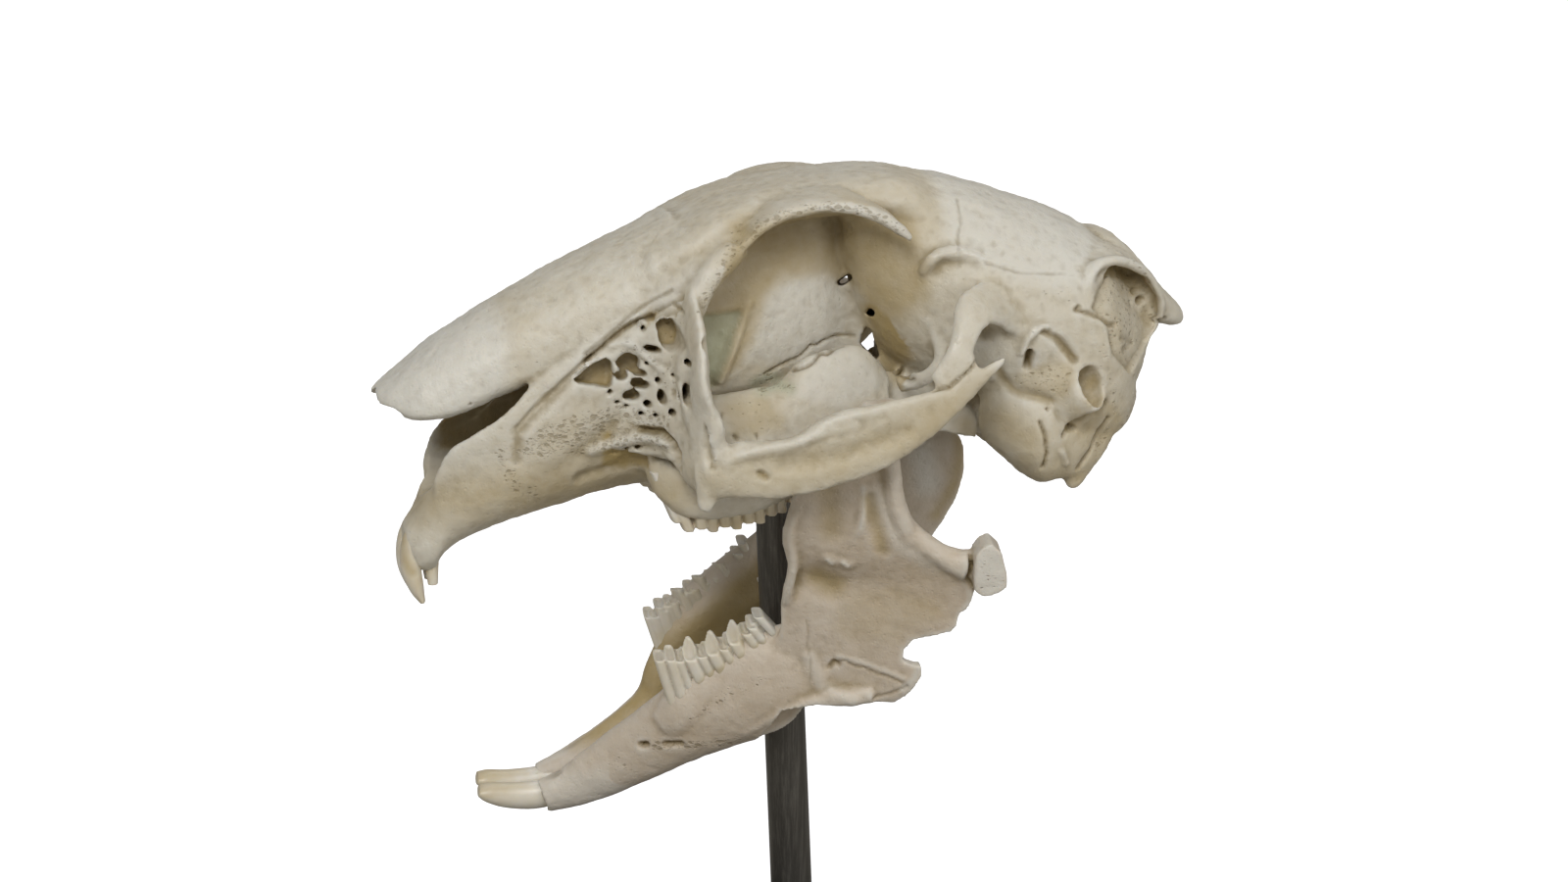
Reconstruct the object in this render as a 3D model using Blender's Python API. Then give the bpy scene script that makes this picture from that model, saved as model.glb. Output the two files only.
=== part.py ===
"""Hare skull on a display stand: the cranium, its two cheek arches and the two lower jaw bones.

Lengths in the tables are millimetres, and MM turns them into metres. The nose points to -X, the
animal's left side to -Y and +Z is up. The skull tables count height from the middle of the skull,
and SKULL_HEIGHT lifts them so that the underside of the base plate lies at zero. Each table holds
the left side; the right side is its mirror image.
"""

import math

import bmesh
import bpy
import numpy as np
from mathutils import Matrix, Vector

MM = 0.001

# Stand
BASE_RADIUS = 37.0
BASE_THICKNESS = 7.0
BASE_SIDES = 72
ROD_RADIUS = 2.5
ROD_FOOT = (2.8, 7.0)
ROD_TOP = (-1.1, 2.6, 9.0)
ROD_SIDES = 40
CROSSBAR_RADIUS = 1.25
CROSSBAR_PLACE = (0.2, -25.5)
CROSSBAR_REACH = 6.6
CROSSBAR_SIDES = 16
FIT_GAP = 0.3
SOCKET_GAP = 0.5

# Pose of the specimen on the rod
SKULL_HEIGHT = 74.0
JAW_ROLL = math.radians(13.4)
JAW_YAW = math.radians(-4.3)
RIGHT_JAW_SPREAD = 1.8
SPREAD_LEVELS = (-14.0, 6.0)

# Fineness
RING_SIDES = 20
PATH_STEPS = 3
VOXEL = 0.45
CRANIUM_TRIANGLES = 8200
JAW_TRIANGLES = 2100
ARCH_TRIANGLES = 420
COARSEN_TRIES = 30
COARSEN_STEP = 0.006

LEFT, RIGHT = -1, 1


def material(name, colour, roughness, metallic=0.0):
    """A plain finish in the colour of the real surface."""
    made = bpy.data.materials.new(name)
    made.use_nodes = True
    shader = made.node_tree.nodes["Principled BSDF"]
    shader.inputs["Base Color"].default_value = (*colour, 1.0)
    shader.inputs["Roughness"].default_value = roughness
    shader.inputs["Metallic"].default_value = metallic
    return made


def smoothed(rows, steps=PATH_STEPS):
    """Rows of numbers with steps - 1 more between each two, on a Catmull-Rom curve through them."""
    rows = np.array(rows, float)
    ends = np.vstack([2 * rows[0] - rows[1], rows, 2 * rows[-1] - rows[-2]])
    made = []
    for before, here, after, beyond in zip(ends, ends[1:], ends[2:], ends[3:]):
        for step in range(steps):
            t = step / steps
            made.append(
                0.5
                * (
                    2 * here
                    + (after - before) * t
                    + (2 * before - 5 * here + 4 * after - beyond) * t * t
                    + (3 * here - before - 3 * after + beyond) * t**3
                )
            )
    made.append(rows[-1])
    return np.array(made)


def mesh_object(name, mesh):
    """A new object that holds a bmesh, which is freed."""
    bmesh.ops.recalc_face_normals(mesh, faces=mesh.faces)
    data = bpy.data.meshes.new(name)
    mesh.to_mesh(data)
    mesh.free()
    made = bpy.data.objects.new(name, data)
    bpy.context.scene.collection.objects.link(made)
    return made


def loft(name, rings):
    """A closed solid through rings of points with as many points each."""
    mesh = bmesh.new()
    loops = [[mesh.verts.new(Vector(point) * MM) for point in ring] for ring in rings]
    for first, second in zip(loops, loops[1:]):
        for i in range(len(first)):
            j = (i + 1) % len(first)
            mesh.faces.new((first[i], first[j], second[j], second[i]))
    mesh.faces.new(loops[0][::-1])
    mesh.faces.new(loops[-1])
    return mesh_object(name, mesh)


def power(value, exponent):
    """A signed power, which squares off or sharpens an oval."""
    return math.copysign(abs(value) ** exponent, value)


def body(name, side, rows, squareness=1.0):
    """A solid along X. A row is x, top, bottom, middle y, half width, and the height of the widest place."""
    rings = []
    for x, top, bottom, y, half_width, widest in smoothed(rows):
        ring = []
        for i in range(RING_SIDES):
            angle = 2 * math.pi * i / RING_SIDES
            across = power(math.cos(angle), squareness)
            up = power(math.sin(angle), squareness)
            reach = top - widest if up > 0 else widest - bottom
            ring.append((x, (y + half_width * across) * -side, widest + reach * up))
        rings.append(ring)
    return loft(name, rings)


def tube(name, side, rows, up=(0.0, 0.0, 1.0)):
    """A solid along a path. A row is x, y, z, the half size along up and the half size across it."""
    rows = smoothed(rows)
    points = rows[:, :3] * [1.0, -side, 1.0]
    turned_up = Vector(up)
    turned_up.y *= -side
    rings = []
    for i, point in enumerate(points):
        along = Vector(points[min(i + 1, len(points) - 1)] - points[max(i - 1, 0)]).normalized()
        across = along.cross(turned_up).normalized()
        rise = across.cross(along).normalized()
        half_up, half_across = rows[i, 3:5]
        ring = []
        for k in range(RING_SIDES):
            angle = 2 * math.pi * k / RING_SIDES
            ring.append(
                Vector(point)
                + rise * half_up * math.sin(angle)
                + across * half_across * math.cos(angle)
            )
        rings.append(ring)
    return loft(name, rings)


def slices(name, side, rows):
    """A plate in level slices. A row is z, front x, back x, y at the front, y at the back, half thickness."""
    rings = []
    for z, front, back, y_front, y_back, half in smoothed(rows):
        ring = []
        for i in range(RING_SIDES):
            angle = 2 * math.pi * i / RING_SIDES
            share = 0.5 + 0.5 * power(math.cos(angle), 0.7)
            y = y_front + (y_back - y_front) * share + half * power(math.sin(angle), 0.7)
            ring.append((front + (back - front) * share, y * -side, z))
        rings.append(ring)
    return loft(name, rings)


def blade(name, side, rows):
    """A plate along X. A row is x, y and z of its inner edge, y and z of its outer edge, half thickness."""
    rings = []
    for x, y_in, z_in, y_out, z_out, half in smoothed(rows):
        run = Vector((y_out - y_in, z_out - z_in)).normalized()
        ring = []
        for i in range(RING_SIDES):
            angle = 2 * math.pi * i / RING_SIDES
            share = 0.5 + 0.5 * power(math.cos(angle), 0.7)
            off = half * power(math.sin(angle), 0.7)
            y = y_in + (y_out - y_in) * share - run.y * off
            z = z_in + (z_out - z_in) * share + run.x * off
            ring.append((x, y * -side, z))
        rings.append(ring)
    return loft(name, rings)


def ball(name, side, centre, radii, turn=0.0):
    """A stretched sphere, turned about Y by turn degrees."""
    mesh = bmesh.new()
    bmesh.ops.create_uvsphere(mesh, u_segments=20, v_segments=12, radius=MM)
    place = (
        Matrix.Translation(Vector((centre[0], centre[1] * -side, centre[2])) * MM)
        @ Matrix.Rotation(math.radians(turn), 4, "Y")
        @ Matrix.Diagonal((*radii, 1.0))
    )
    bmesh.ops.transform(mesh, matrix=place, verts=mesh.verts)
    return mesh_object(name, mesh)


def cylinder(name, radius, start, end, sides):
    """A round bar between two points."""
    start, end = Vector(start), Vector(end)
    mesh = bmesh.new()
    bmesh.ops.create_cone(
        mesh,
        cap_ends=True,
        segments=sides,
        radius1=radius * MM,
        radius2=radius * MM,
        depth=(end - start).length * MM,
    )
    turn = (end - start).to_track_quat("Z", "Y").to_matrix().to_4x4()
    bmesh.ops.transform(mesh, matrix=Matrix.Translation((start + end) / 2 * MM) @ turn, verts=mesh.verts)
    return mesh_object(name, mesh)


def rod_bar(name, radius, low, high):
    """A bar on the leaning line of the rod, cut level at both ends."""
    foot = Vector((*ROD_FOOT, BASE_THICKNESS - SKULL_HEIGHT))
    lean = Vector(ROD_TOP) - foot
    turns = [2 * math.pi * i / ROD_SIDES for i in range(ROD_SIDES)]
    rings = []
    for level in (low, high):
        middle = foot + lean * ((level - foot.z) / lean.z)
        rings.append([middle + Vector((math.cos(a), math.sin(a), 0.0)) * radius for a in turns])
    return loft(name, rings)


def apply_modifiers(made):
    """Leaves an object with the mesh that its modifiers make."""
    graph = bpy.context.evaluated_depsgraph_get()
    made.data = bpy.data.meshes.new_from_object(made.evaluated_get(graph))
    made.modifiers.clear()


def boolean(made, operation, others):
    """Joins or cuts an object with closed meshes in one step, then removes them."""
    group = bpy.data.collections.new(made.name + "_" + operation.lower())
    bpy.context.scene.collection.children.link(group)
    for other in others:
        bpy.context.scene.collection.objects.unlink(other)
        group.objects.link(other)
    step = made.modifiers.new(operation, "BOOLEAN")
    step.operation = operation
    step.operand_type = "COLLECTION"
    step.collection = group
    step.solver = "MANIFOLD"
    apply_modifiers(made)
    for other in others:
        bpy.data.objects.remove(other)
    bpy.data.collections.remove(group)


def keep_largest(made):
    """Removes all but the largest closed surface, with any pocket that the joining sealed."""
    mesh = bmesh.new()
    mesh.from_mesh(made.data)
    left = set(mesh.verts)
    shells = []
    while left:
        found = {left.pop()}
        edge = list(found)
        while edge:
            near = {e.other_vert(v) for v in edge for e in v.link_edges} - found
            found |= near
            edge = list(near)
        left -= found
        shells.append(found)
    largest = max(shells, key=len)
    bmesh.ops.delete(mesh, geom=[v for v in mesh.verts if v not in largest], context="VERTS")
    mesh.to_mesh(made.data)
    mesh.free()


def is_closed(data):
    """Whether each edge of a mesh has two faces."""
    mesh = bmesh.new()
    mesh.from_mesh(data)
    closed = all(edge.is_manifold for edge in mesh.edges)
    mesh.free()
    return closed


def coarsen(made, triangles):
    """Brings a mesh near a number of triangles, a little fewer where that number would pinch a thin wall."""
    fine = made.data
    ratio = triangles / sum(len(face.vertices) - 2 for face in fine.polygons)
    for attempt in range(COARSEN_TRIES):
        made.data = fine
        coarse = made.modifiers.new("Coarse", "DECIMATE")
        coarse.ratio = ratio * (1 - COARSEN_STEP * attempt)
        apply_modifiers(made)
        if is_closed(made.data):
            return


def fused(name, pieces, cutters, triangles, finish):
    """One bone from overlapping pieces: joined, cut open, blended over the joins, and made coarser."""
    made, *others = pieces
    made.name = name
    boolean(made, "UNION", others)
    if cutters:
        boolean(made, "DIFFERENCE", cutters)
    blend = made.modifiers.new("Blend", "REMESH")
    blend.mode = "VOXEL"
    blend.voxel_size = VOXEL * MM
    ease = made.modifiers.new("Ease", "SMOOTH")
    ease.factor = 0.5
    ease.iterations = 3
    apply_modifiers(made)
    keep_largest(made)
    coarsen(made, triangles)
    made.data.materials.clear()
    made.data.materials.append(finish)
    made.data.shade_smooth()
    made.data.set_sharp_from_angle(angle=math.radians(50))
    return made


# Cranium

BRAINCASE = [
    (6, 32.6, 22.0, 0, 6.5, 27),
    (10, 32.7, 12.0, 0, 10.0, 21),
    (15, 32.2, 8.0, 0, 13.4, 18),
    (20, 31.2, 6.0, 0, 15.2, 16),
    (26, 29.3, 4.5, 0, 16.0, 15),
    (32, 26.6, 3.0, 0, 15.8, 14),
    (37, 23.4, 2.0, 0, 14.6, 12.5),
    (41, 19.6, 3.0, 0, 11.6, 11),
    (44, 15.6, 6.5, 0, 7.0, 11),
]
FRONTAL_ROOF = [
    (-18, 25.6, 20.0, 0, 10.4, 22.0),
    (-13, 28.0, 23.0, 0, 11.6, 25.0),
    (-8, 30.2, 25.5, 0, 11.0, 27.6),
    (-2, 31.6, 27.0, 0, 9.6, 29.2),
    (4, 32.3, 27.5, 0, 9.2, 30.0),
    (10, 32.7, 27.5, 0, 9.8, 30.0),
    (15, 32.2, 26.0, 0, 11.0, 29.0),
]
ORBIT_MIDDLE_WALL = [
    (-17, 24.0, 1.0, 0, 10.0, 10.0),
    (-12, 27.0, 3.0, 0, 9.6, 14.0),
    (-7, 28.5, 4.0, 0, 8.2, 16.0),
    (-2, 29.5, 5.0, 0, 6.8, 18.0),
    (3, 30.0, 5.5, 0, 5.2, 19.0),
    (7, 30.0, 5.5, 0, 3.4, 20.0),
    (11, 30.0, 5.0, 0, 4.4, 18.0),
    (15, 29.0, 5.0, 0, 8.0, 16.0),
]
NASAL_ROOF = [
    (-49.4, 8.3, 6.8, 0, 2.2, 7.2),
    (-47.5, 10.0, 6.2, 0, 5.2, 7.0),
    (-44.5, 12.6, 5.0, 0, 7.4, 6.6),
    (-40, 15.9, 5.3, 0, 8.4, 8.0),
    (-35, 18.6, 7.2, 0, 9.0, 10.6),
    (-30, 21.2, 9.4, 0, 9.6, 13.0),
    (-25, 23.4, 12.4, 0, 10.2, 15.6),
    (-20, 25.4, 15.0, 0, 10.8, 18.0),
    (-14, 28.2, 17.0, 0, 11.4, 21.0),
]
SNOUT = [
    (-45.6, -7.8, -11.0, 0, 2.6, -9.6),
    (-44.2, -5.8, -12.0, 0, 4.0, -9.4),
    (-42.3, -1.6, -11.6, 0, 5.2, -6.0),
    (-40.6, 2.0, -9.6, 0, 6.2, -3.0),
    (-38, 3.9, -8.0, 0, 7.2, -1.0),
    (-35, 5.6, -6.8, 0, 8.2, 1.0),
    (-32, 9.4, -5.8, 0, 8.8, 2.6),
    (-27, 13.5, -4.4, 0, 9.4, 5.0),
    (-21, 18.0, -3.2, 0, 10.0, 8.0),
    (-15, 21.0, -3.4, 0, 10.8, 9.0),
    (-11, 21.0, -3.0, 0, 10.4, 9.0),
]
NASAL_CAVITY = [
    (-52, 6.6, -8.6, 0, 3.0, 2.0),
    (-46, 9.8, -5.6, 0, 4.6, 5.2),
    (-43, 12.0, -4.2, 0, 5.6, 5.4),
    (-39, 15.0, -3.4, 0, 6.8, 5.2),
    (-34, 17.8, -2.2, 0, 7.6, 8.0),
    (-28, 20.8, -1.0, 0, 8.2, 10.6),
    (-22, 23.2, 1.0, 0, 8.6, 13.0),
    (-17, 23.0, 4.0, 0, 8.0, 14.0),
]
CHEEK_TOOTH_DOME = [
    (-15, 3.0, -4.4, -9.4, 2.6, -1.0),
    (-11.5, 7.0, -6.2, -9.6, 3.4, 0.0),
    (-6, 9.2, -6.6, -9.4, 3.4, 1.0),
    (-1, 10.8, -6.0, -9.2, 3.3, 2.0),
    (4, 12.6, -4.4, -9.0, 3.2, 4.0),
    (8.4, 13.0, -1.0, -8.4, 3.0, 6.0),
    (11.2, 10.6, 3.0, -7.6, 2.0, 7.0),
]
PALATE = [
    (-16, 0.5, -4.6, 0, 8.0, -2.5),
    (-12, 1.0, -5.0, 0, 9.0, -2.6),
    (-6, 1.5, -4.4, 0, 9.0, -2.0),
    (-4.5, 1.0, -3.6, 0, 8.0, -1.6),
]
SKULL_BASE = [
    (-8, 10.0, 4.8, 0, 3.4, 8.0),
    (-4, 12.0, 5.0, 0, 4.4, 8.4),
    (3, 12.0, 5.0, 0, 4.4, 8.0),
    (10, 9.0, 3.6, 0, 3.6, 6.4),
    (20, 9.0, 1.0, 0, 3.8, 5.0),
    (30, 8.0, -1.4, 0, 5.0, 3.0),
    (37, 6.0, -1.6, 0, 5.4, 2.0),
    (40.5, 5.0, 0.0, 0, 5.2, 2.4),
]
OCCIPITAL_SHIELD = [
    (36, 24.6, 15.0, 0, 4.0, 20.0),
    (39, 24.2, 14.0, 0, 6.0, 20.0),
    (42, 22.2, 12.0, 0, 7.2, 18.4),
    (45, 19.2, 11.0, 0, 6.8, 15.8),
    (47.4, 15.8, 11.4, 0, 5.0, 13.6),
    (48.6, 13.8, 12.0, 0, 3.0, 13.0),
]
ORBIT_FRONT_BAR = [
    (-12.8, -8.5, 9.0, 12.4, 2.6),
    (-12.9, -12.0, 9.6, 12.4, 1.7),
    (-12.8, -15.0, 8.0, 10.8, 1.5),
    (-12.4, -17.6, 5.0, 8.0, 1.6),
    (-11.9, -19.6, 2.2, 5.2, 1.9),
    (-11.4, -20.9, 1.2, 3.2, 1.8),
]
ORBIT_FRONT_EDGE = [
    (-11.6, -20.4, 3.0, 1.5, 1.7),
    (-12.6, -18.6, 7.6, 1.4, 1.6),
    (-12.9, -15.8, 14.0, 1.4, 1.6),
    (-12.2, -14.2, 18.6, 1.6, 1.8),
    (-10.4, -13.4, 22.4, 1.6, 2.0),
    (-8.0, -12.4, 25.2, 1.6, 2.0),
]
ARCH_ROOT = [
    (-13.4, -19.6, 0.6, 3.8, 1.6),
    (-11.0, -20.6, 0.8, 3.9, 1.5),
    (-8.6, -21.2, 1.2, 3.4, 1.2),
]
MASSETER_SPINE = [
    (-12.6, -19.6, 1.0, 1.6, 2.0),
    (-13.2, -19.9, -1.6, 1.1, 1.5),
    (-13.5, -20.0, -3.6, 0.5, 0.7),
]
SUPRAORBITAL_WING = [
    (-10.6, -10.4, 23.4, -13.0, 22.4, 0.7),
    (-8.6, -9.6, 26.0, -14.0, 24.6, 0.8),
    (-6.0, -7.6, 28.6, -14.4, 27.4, 0.9),
    (-2.0, -6.0, 30.2, -14.8, 29.7, 1.0),
    (3.0, -6.0, 31.0, -15.2, 30.3, 1.0),
    (6.0, -9.2, 30.8, -15.6, 29.7, 0.9),
    (9.0, -12.2, 29.2, -15.9, 28.4, 0.8),
    (12.2, -14.0, 26.6, -16.0, 26.2, 0.6),
]
TEMPLE_RIDGE = [
    (13.4, -12.8, 22.0, 0.8, 0.8),
    (15.4, -13.6, 24.0, 1.0, 1.1),
    (18.6, -13.2, 24.6, 1.0, 1.2),
    (22.6, -13.8, 23.2, 0.9, 1.2),
    (28.0, -14.4, 20.2, 0.8, 1.2),
]
CHEEK_PROCESS = [
    (27.0, -13.6, 17.0, 1.6, 2.6),
    (22.6, -16.4, 18.6, 1.3, 2.6),
    (19.2, -19.2, 18.4, 1.2, 2.1),
    (17.2, -21.6, 16.2, 1.0, 1.8),
    (16.0, -22.4, 14.4, 0.9, 2.2),
    (15.6, -22.8, 13.3, 0.8, 2.4),
]
NECK_CREST = [
    (31.0, -15.0, 18.0, 1.0, 1.2),
    (33.4, -14.2, 20.8, 1.0, 1.2),
    (37.6, -12.0, 22.0, 1.0, 1.3),
    (41.4, -9.6, 20.2, 1.1, 1.4),
    (43.6, -8.6, 16.2, 1.1, 1.4),
    (43.2, -9.8, 12.0, 1.1, 1.4),
]
EAR_TUBE = [
    (29.6, -10.0, 3.6, 2.4, 2.4),
    (31.4, -12.4, 6.0, 2.6, 2.3),
    (33.2, -14.6, 7.8, 2.7, 2.2),
    (33.8, -15.6, 8.2, 2.6, 2.0),
]
EAR_HOLE = [
    (31.6, -12.6, 6.4, 1.2, 1.0),
    (33.4, -14.9, 7.9, 1.6, 1.2),
    (35.0, -18.0, 8.8, 1.7, 1.3),
]
NECK_PROCESS = [
    (38.6, -9.0, 9.0, 2.2, 2.4),
    (38.0, -10.4, 4.0, 1.6, 2.4),
    (36.4, -11.2, -0.6, 1.3, 2.0),
    (34.8, -11.6, -4.0, 0.9, 1.3),
    (34.0, -11.8, -6.2, 0.5, 0.7),
]
THROAT_PLATE = [
    (-6.0, -5.2, 6.6, -5.4, -2.2, 0.6),
    (0.0, -4.9, 9.0, -5.2, -1.6, 0.55),
    (6.0, -4.8, 9.0, -5.2, -0.2, 0.55),
    (12.0, -5.0, 9.0, -5.6, 1.4, 0.55),
    (18.0, -4.8, 8.0, -5.4, 1.2, 0.55),
    (22.4, -4.6, 3.0, -4.8, 0.2, 0.45),
]
EAR_BULLA = ((26.2, -10.2, 2.0), (4.9, 4.3, 5.7), 18.0)
FORAMEN_MAGNUM = [
    (37.0, 0.0, 9.6, 3.6, 4.4),
    (41.0, 0.0, 8.4, 4.2, 5.0),
    (50.0, 0.0, 5.2, 4.4, 5.2),
]
OPTIC_HOLE = ((9.8, 0.0, 11.6), (2.2, 8.0, 2.6), 30.0)
NECK_CONDYLE = ((41.2, -4.8, 4.2), (2.4, 2.4, 3.6), 20.0)

# Upper teeth: x, crown height below the gum line, half length along the row
CHEEK_TEETH = [
    (-14.7, 3.2, 1.1),
    (-11.9, 4.0, 1.4),
    (-8.8, 4.0, 1.4),
    (-5.7, 3.8, 1.4),
    (-2.7, 3.4, 1.3),
    (-0.5, 2.4, 0.8),
]
CHEEK_TOOTH_Y = -9.4
CHEEK_TOOTH_HALF_WIDTH = 2.1
UPPER_GUM_AT_FIRST = -4.6
UPPER_ROW_SLOPE = 0.2
UPPER_INCISOR = [
    (-43.0, -1.7, -7.0, 1.4, 1.3),
    (-44.6, -1.7, -9.6, 1.4, 1.35),
    (-45.0, -1.7, -12.6, 1.25, 1.35),
    (-44.4, -1.7, -15.2, 0.9, 1.3),
    (-43.7, -1.7, -17.0, 0.35, 1.1),
]
PEG_INCISOR = [
    (-42.2, -1.5, -9.0, 0.8, 0.9),
    (-42.5, -1.5, -12.6, 0.8, 0.9),
    (-42.4, -1.5, -15.0, 0.6, 0.7),
]


def tooth_ridges(name, side, x, y, top, bottom, half_length, half_width, lean):
    """A cheek tooth: a column with two cross ridges and a groove between them on its outer face."""
    rings = []
    for share in (0.0, 0.5, 0.86, 1.0):
        z = top + (bottom - top) * share
        slim = 1.0 if share < 0.9 else 0.82
        ring = []
        for i in range(RING_SIDES):
            angle = 2 * math.pi * i / RING_SIDES
            waist = 1.0 - 0.16 * math.cos(2 * angle) ** 8
            along = power(math.cos(angle), 0.75) * half_length * slim
            across = power(math.sin(angle), 0.75) * half_width * slim * waist
            ring.append((x + along + lean * (z - top), (y + across) * -side, z))
        rings.append(ring)
    return loft(name, rings)


def cheek_teeth(side):
    """The six upper cheek teeth of a side."""
    for number, (x, crown, half_length) in enumerate(CHEEK_TEETH):
        gum = UPPER_GUM_AT_FIRST + (x - CHEEK_TEETH[0][0]) * UPPER_ROW_SLOPE
        half_width = CHEEK_TOOTH_HALF_WIDTH * (0.75 if number in (0, 5) else 1.0)
        yield tooth_ridges(
            "cheek_tooth", side, x, CHEEK_TOOTH_Y, gum + 2.5, gum - crown, half_length, half_width, 0.12
        )


def cranium(finish):
    """The skull without its lower jaw and cheek arches."""
    pieces = [
        body("braincase", LEFT, BRAINCASE, 0.92),
        body("frontal_roof", LEFT, FRONTAL_ROOF, 0.7),
        body("orbit_middle_wall", LEFT, ORBIT_MIDDLE_WALL, 0.9),
        body("nasal_roof", LEFT, NASAL_ROOF, 0.85),
        body("snout", LEFT, SNOUT, 0.85),
        body("palate", LEFT, PALATE, 0.6),
        body("skull_base", LEFT, SKULL_BASE, 0.9),
        body("occipital_shield", LEFT, OCCIPITAL_SHIELD, 0.7),
    ]
    cutters = [
        body("nasal_cavity", LEFT, NASAL_CAVITY, 0.9),
        tube("foramen_magnum", LEFT, FORAMEN_MAGNUM),
        rod_bar("rod_socket", ROD_RADIUS + SOCKET_GAP, -9.0, ROD_TOP[2] + SOCKET_GAP),
        ball("optic_hole", LEFT, *OPTIC_HOLE),
    ]
    teeth = []
    for side in (LEFT, RIGHT):
        pieces += [
            body("tooth_dome", side, CHEEK_TOOTH_DOME),
            tube("orbit_front_bar", side, ORBIT_FRONT_BAR),
            tube("orbit_front_edge", side, ORBIT_FRONT_EDGE, (1, 0, 0)),
            tube("arch_root", side, ARCH_ROOT),
            tube("masseter_spine", side, MASSETER_SPINE, (0, 1, 0)),
            blade("supraorbital_wing", side, SUPRAORBITAL_WING),
            tube("temple_ridge", side, TEMPLE_RIDGE),
            tube("cheek_process", side, CHEEK_PROCESS, (0, -0.8, 0.6)),
            tube("neck_crest", side, NECK_CREST),
            tube("ear_tube", side, EAR_TUBE),
            tube("neck_process", side, NECK_PROCESS, (1, 0, 0)),
            blade("throat_plate", side, THROAT_PLATE),
            ball("ear_bulla", side, *EAR_BULLA),
            ball("neck_condyle", side, *NECK_CONDYLE),
        ]
        cutters.append(tube("ear_hole", side, EAR_HOLE))
        teeth += [
            tube("upper_incisor", side, UPPER_INCISOR, (1, 0, 0)),
            tube("peg_incisor", side, PEG_INCISOR, (1, 0, 0)),
            *cheek_teeth(side),
        ]
    return fused("cranium", pieces + teeth, cutters, CRANIUM_TRIANGLES, finish)


# Cheek arch: x, y and z of its lower edge, y and z of its upper edge, half thickness
ARCH_BLADE = [
    (-8.1, -21.4, -1.9, -21.0, 4.4, 1.15),
    (-5.0, -21.9, -1.9, -21.6, 4.6, 1.0),
    (-1.0, -22.3, -1.4, -22.2, 6.5, 0.95),
    (3.0, -22.7, -0.2, -22.6, 8.2, 0.95),
    (7.4, -23.0, 1.5, -23.0, 9.0, 0.9),
    (11.4, -23.2, 4.0, -23.2, 9.9, 0.85),
    (15.2, -23.3, 7.2, -23.3, 10.9, 0.8),
    (18.4, -23.3, 10.4, -23.3, 12.7, 0.65),
    (21.0, -23.2, 13.0, -23.2, 13.9, 0.45),
]
ARCH_UPPER_RIM = [
    (-8.1, -21.0, 3.6, 1.2, 1.35),
    (-4.0, -21.8, 4.2, 0.9, 1.3),
    (1.0, -22.4, 7.0, 0.8, 1.25),
    (7.4, -22.9, 8.4, 0.7, 1.1),
    (13.0, -23.1, 9.6, 0.6, 0.9),
]


def cheek_arch(side, finish):
    """The flat cheek bone that bounds the eye socket below, with its free tip at the back."""
    name = "zygomatic_arch_left" if side == LEFT else "zygomatic_arch_right"
    pieces = [blade("arch_blade", side, ARCH_BLADE), tube("arch_rim", side, ARCH_UPPER_RIM)]
    return fused(name, pieces, [], ARCH_TRIANGLES, finish)


# Lower jaw, in its own frame, which JAW_ROLL and JAW_YAW turn about the middle of the skull

JAW_BODY = [
    (-28.4, -2.1, -45.8, 2.0, 1.7),
    (-25.0, -2.6, -44.0, 2.5, 2.0),
    (-21.0, -3.6, -41.2, 3.2, 2.2),
    (-17.0, -5.0, -38.0, 4.0, 2.4),
    (-12.6, -6.6, -34.6, 5.0, 2.8),
    (-7.6, -8.0, -30.6, 6.4, 3.2),
    (-2.0, -9.4, -27.0, 7.2, 3.1),
    (3.0, -11.0, -25.4, 6.2, 2.2),
    (7.0, -12.6, -25.0, 4.4, 1.4),
]
JAW_PLATE = [
    (-30.4, 0.6, 11.0, -10.6, -14.0, 0.9),
    (-28.0, -0.6, 15.2, -10.8, -15.4, 0.9),
    (-24.5, -1.6, 19.0, -11.0, -16.6, 0.8),
    (-20.5, -1.6, 22.4, -11.4, -17.4, 0.8),
    (-16.0, -1.4, 24.6, -11.8, -17.8, 0.8),
    (-11.6, -0.5, 25.2, -12.2, -18.0, 0.8),
    (-7.8, -1.2, 23.6, -13.8, -18.0, 0.8),
    (-5.4, -1.5, 15.6, -14.2, -17.0, 0.9),
    (-2.4, -1.0, 12.4, -14.5, -16.6, 1.0),
    (2.4, 0.4, 11.2, -14.9, -16.4, 1.1),
    (7.0, 2.8, 11.0, -15.3, -16.2, 1.2),
    (10.4, 5.4, 10.8, -15.6, -16.2, 1.2),
    (12.2, 6.8, 9.8, -16.0, -16.2, 1.1),
]
BROKEN_EDGE = [
    (-29.4, 12.6, 32.0, -20, -20, 8.0),
    (-26.6, 12.4, 32.0, -20, -20, 8.0),
    (-24.6, 13.4, 32.0, -20, -20, 8.0),
    (-22.8, 14.0, 32.0, -20, -20, 8.0),
    (-21.6, 12.9, 32.0, -20, -20, 8.0),
    (-19.4, 14.2, 32.0, -20, -20, 8.0),
    (-17.8, 18.0, 32.0, -20, -20, 8.0),
    (-15.4, 19.6, 32.0, -20, -20, 8.0),
    (-13.0, 21.4, 32.0, -20, -20, 8.0),
]
ANGLE_RIM = [
    (12.0, -15.9, -3.4, 1.2, 1.3),
    (14.6, -16.6, -5.8, 1.2, 1.3),
    (17.4, -17.2, -7.6, 1.3, 1.3),
    (20.2, -17.8, -8.4, 2.2, 1.5),
    (22.6, -18.0, -8.2, 3.2, 1.7),
    (23.8, -18.0, -8.6, 2.4, 1.3),
]
CONDYLE_RIM = [
    (13.0, -16.4, -5.2, 1.1, 1.3),
    (11.2, -16.6, -1.0, 1.1, 1.4),
    (10.2, -16.6, 4.0, 1.1, 1.5),
    (9.6, -16.4, 9.0, 1.2, 1.6),
    (8.8, -16.2, 12.2, 1.9, 1.7),
]
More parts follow.
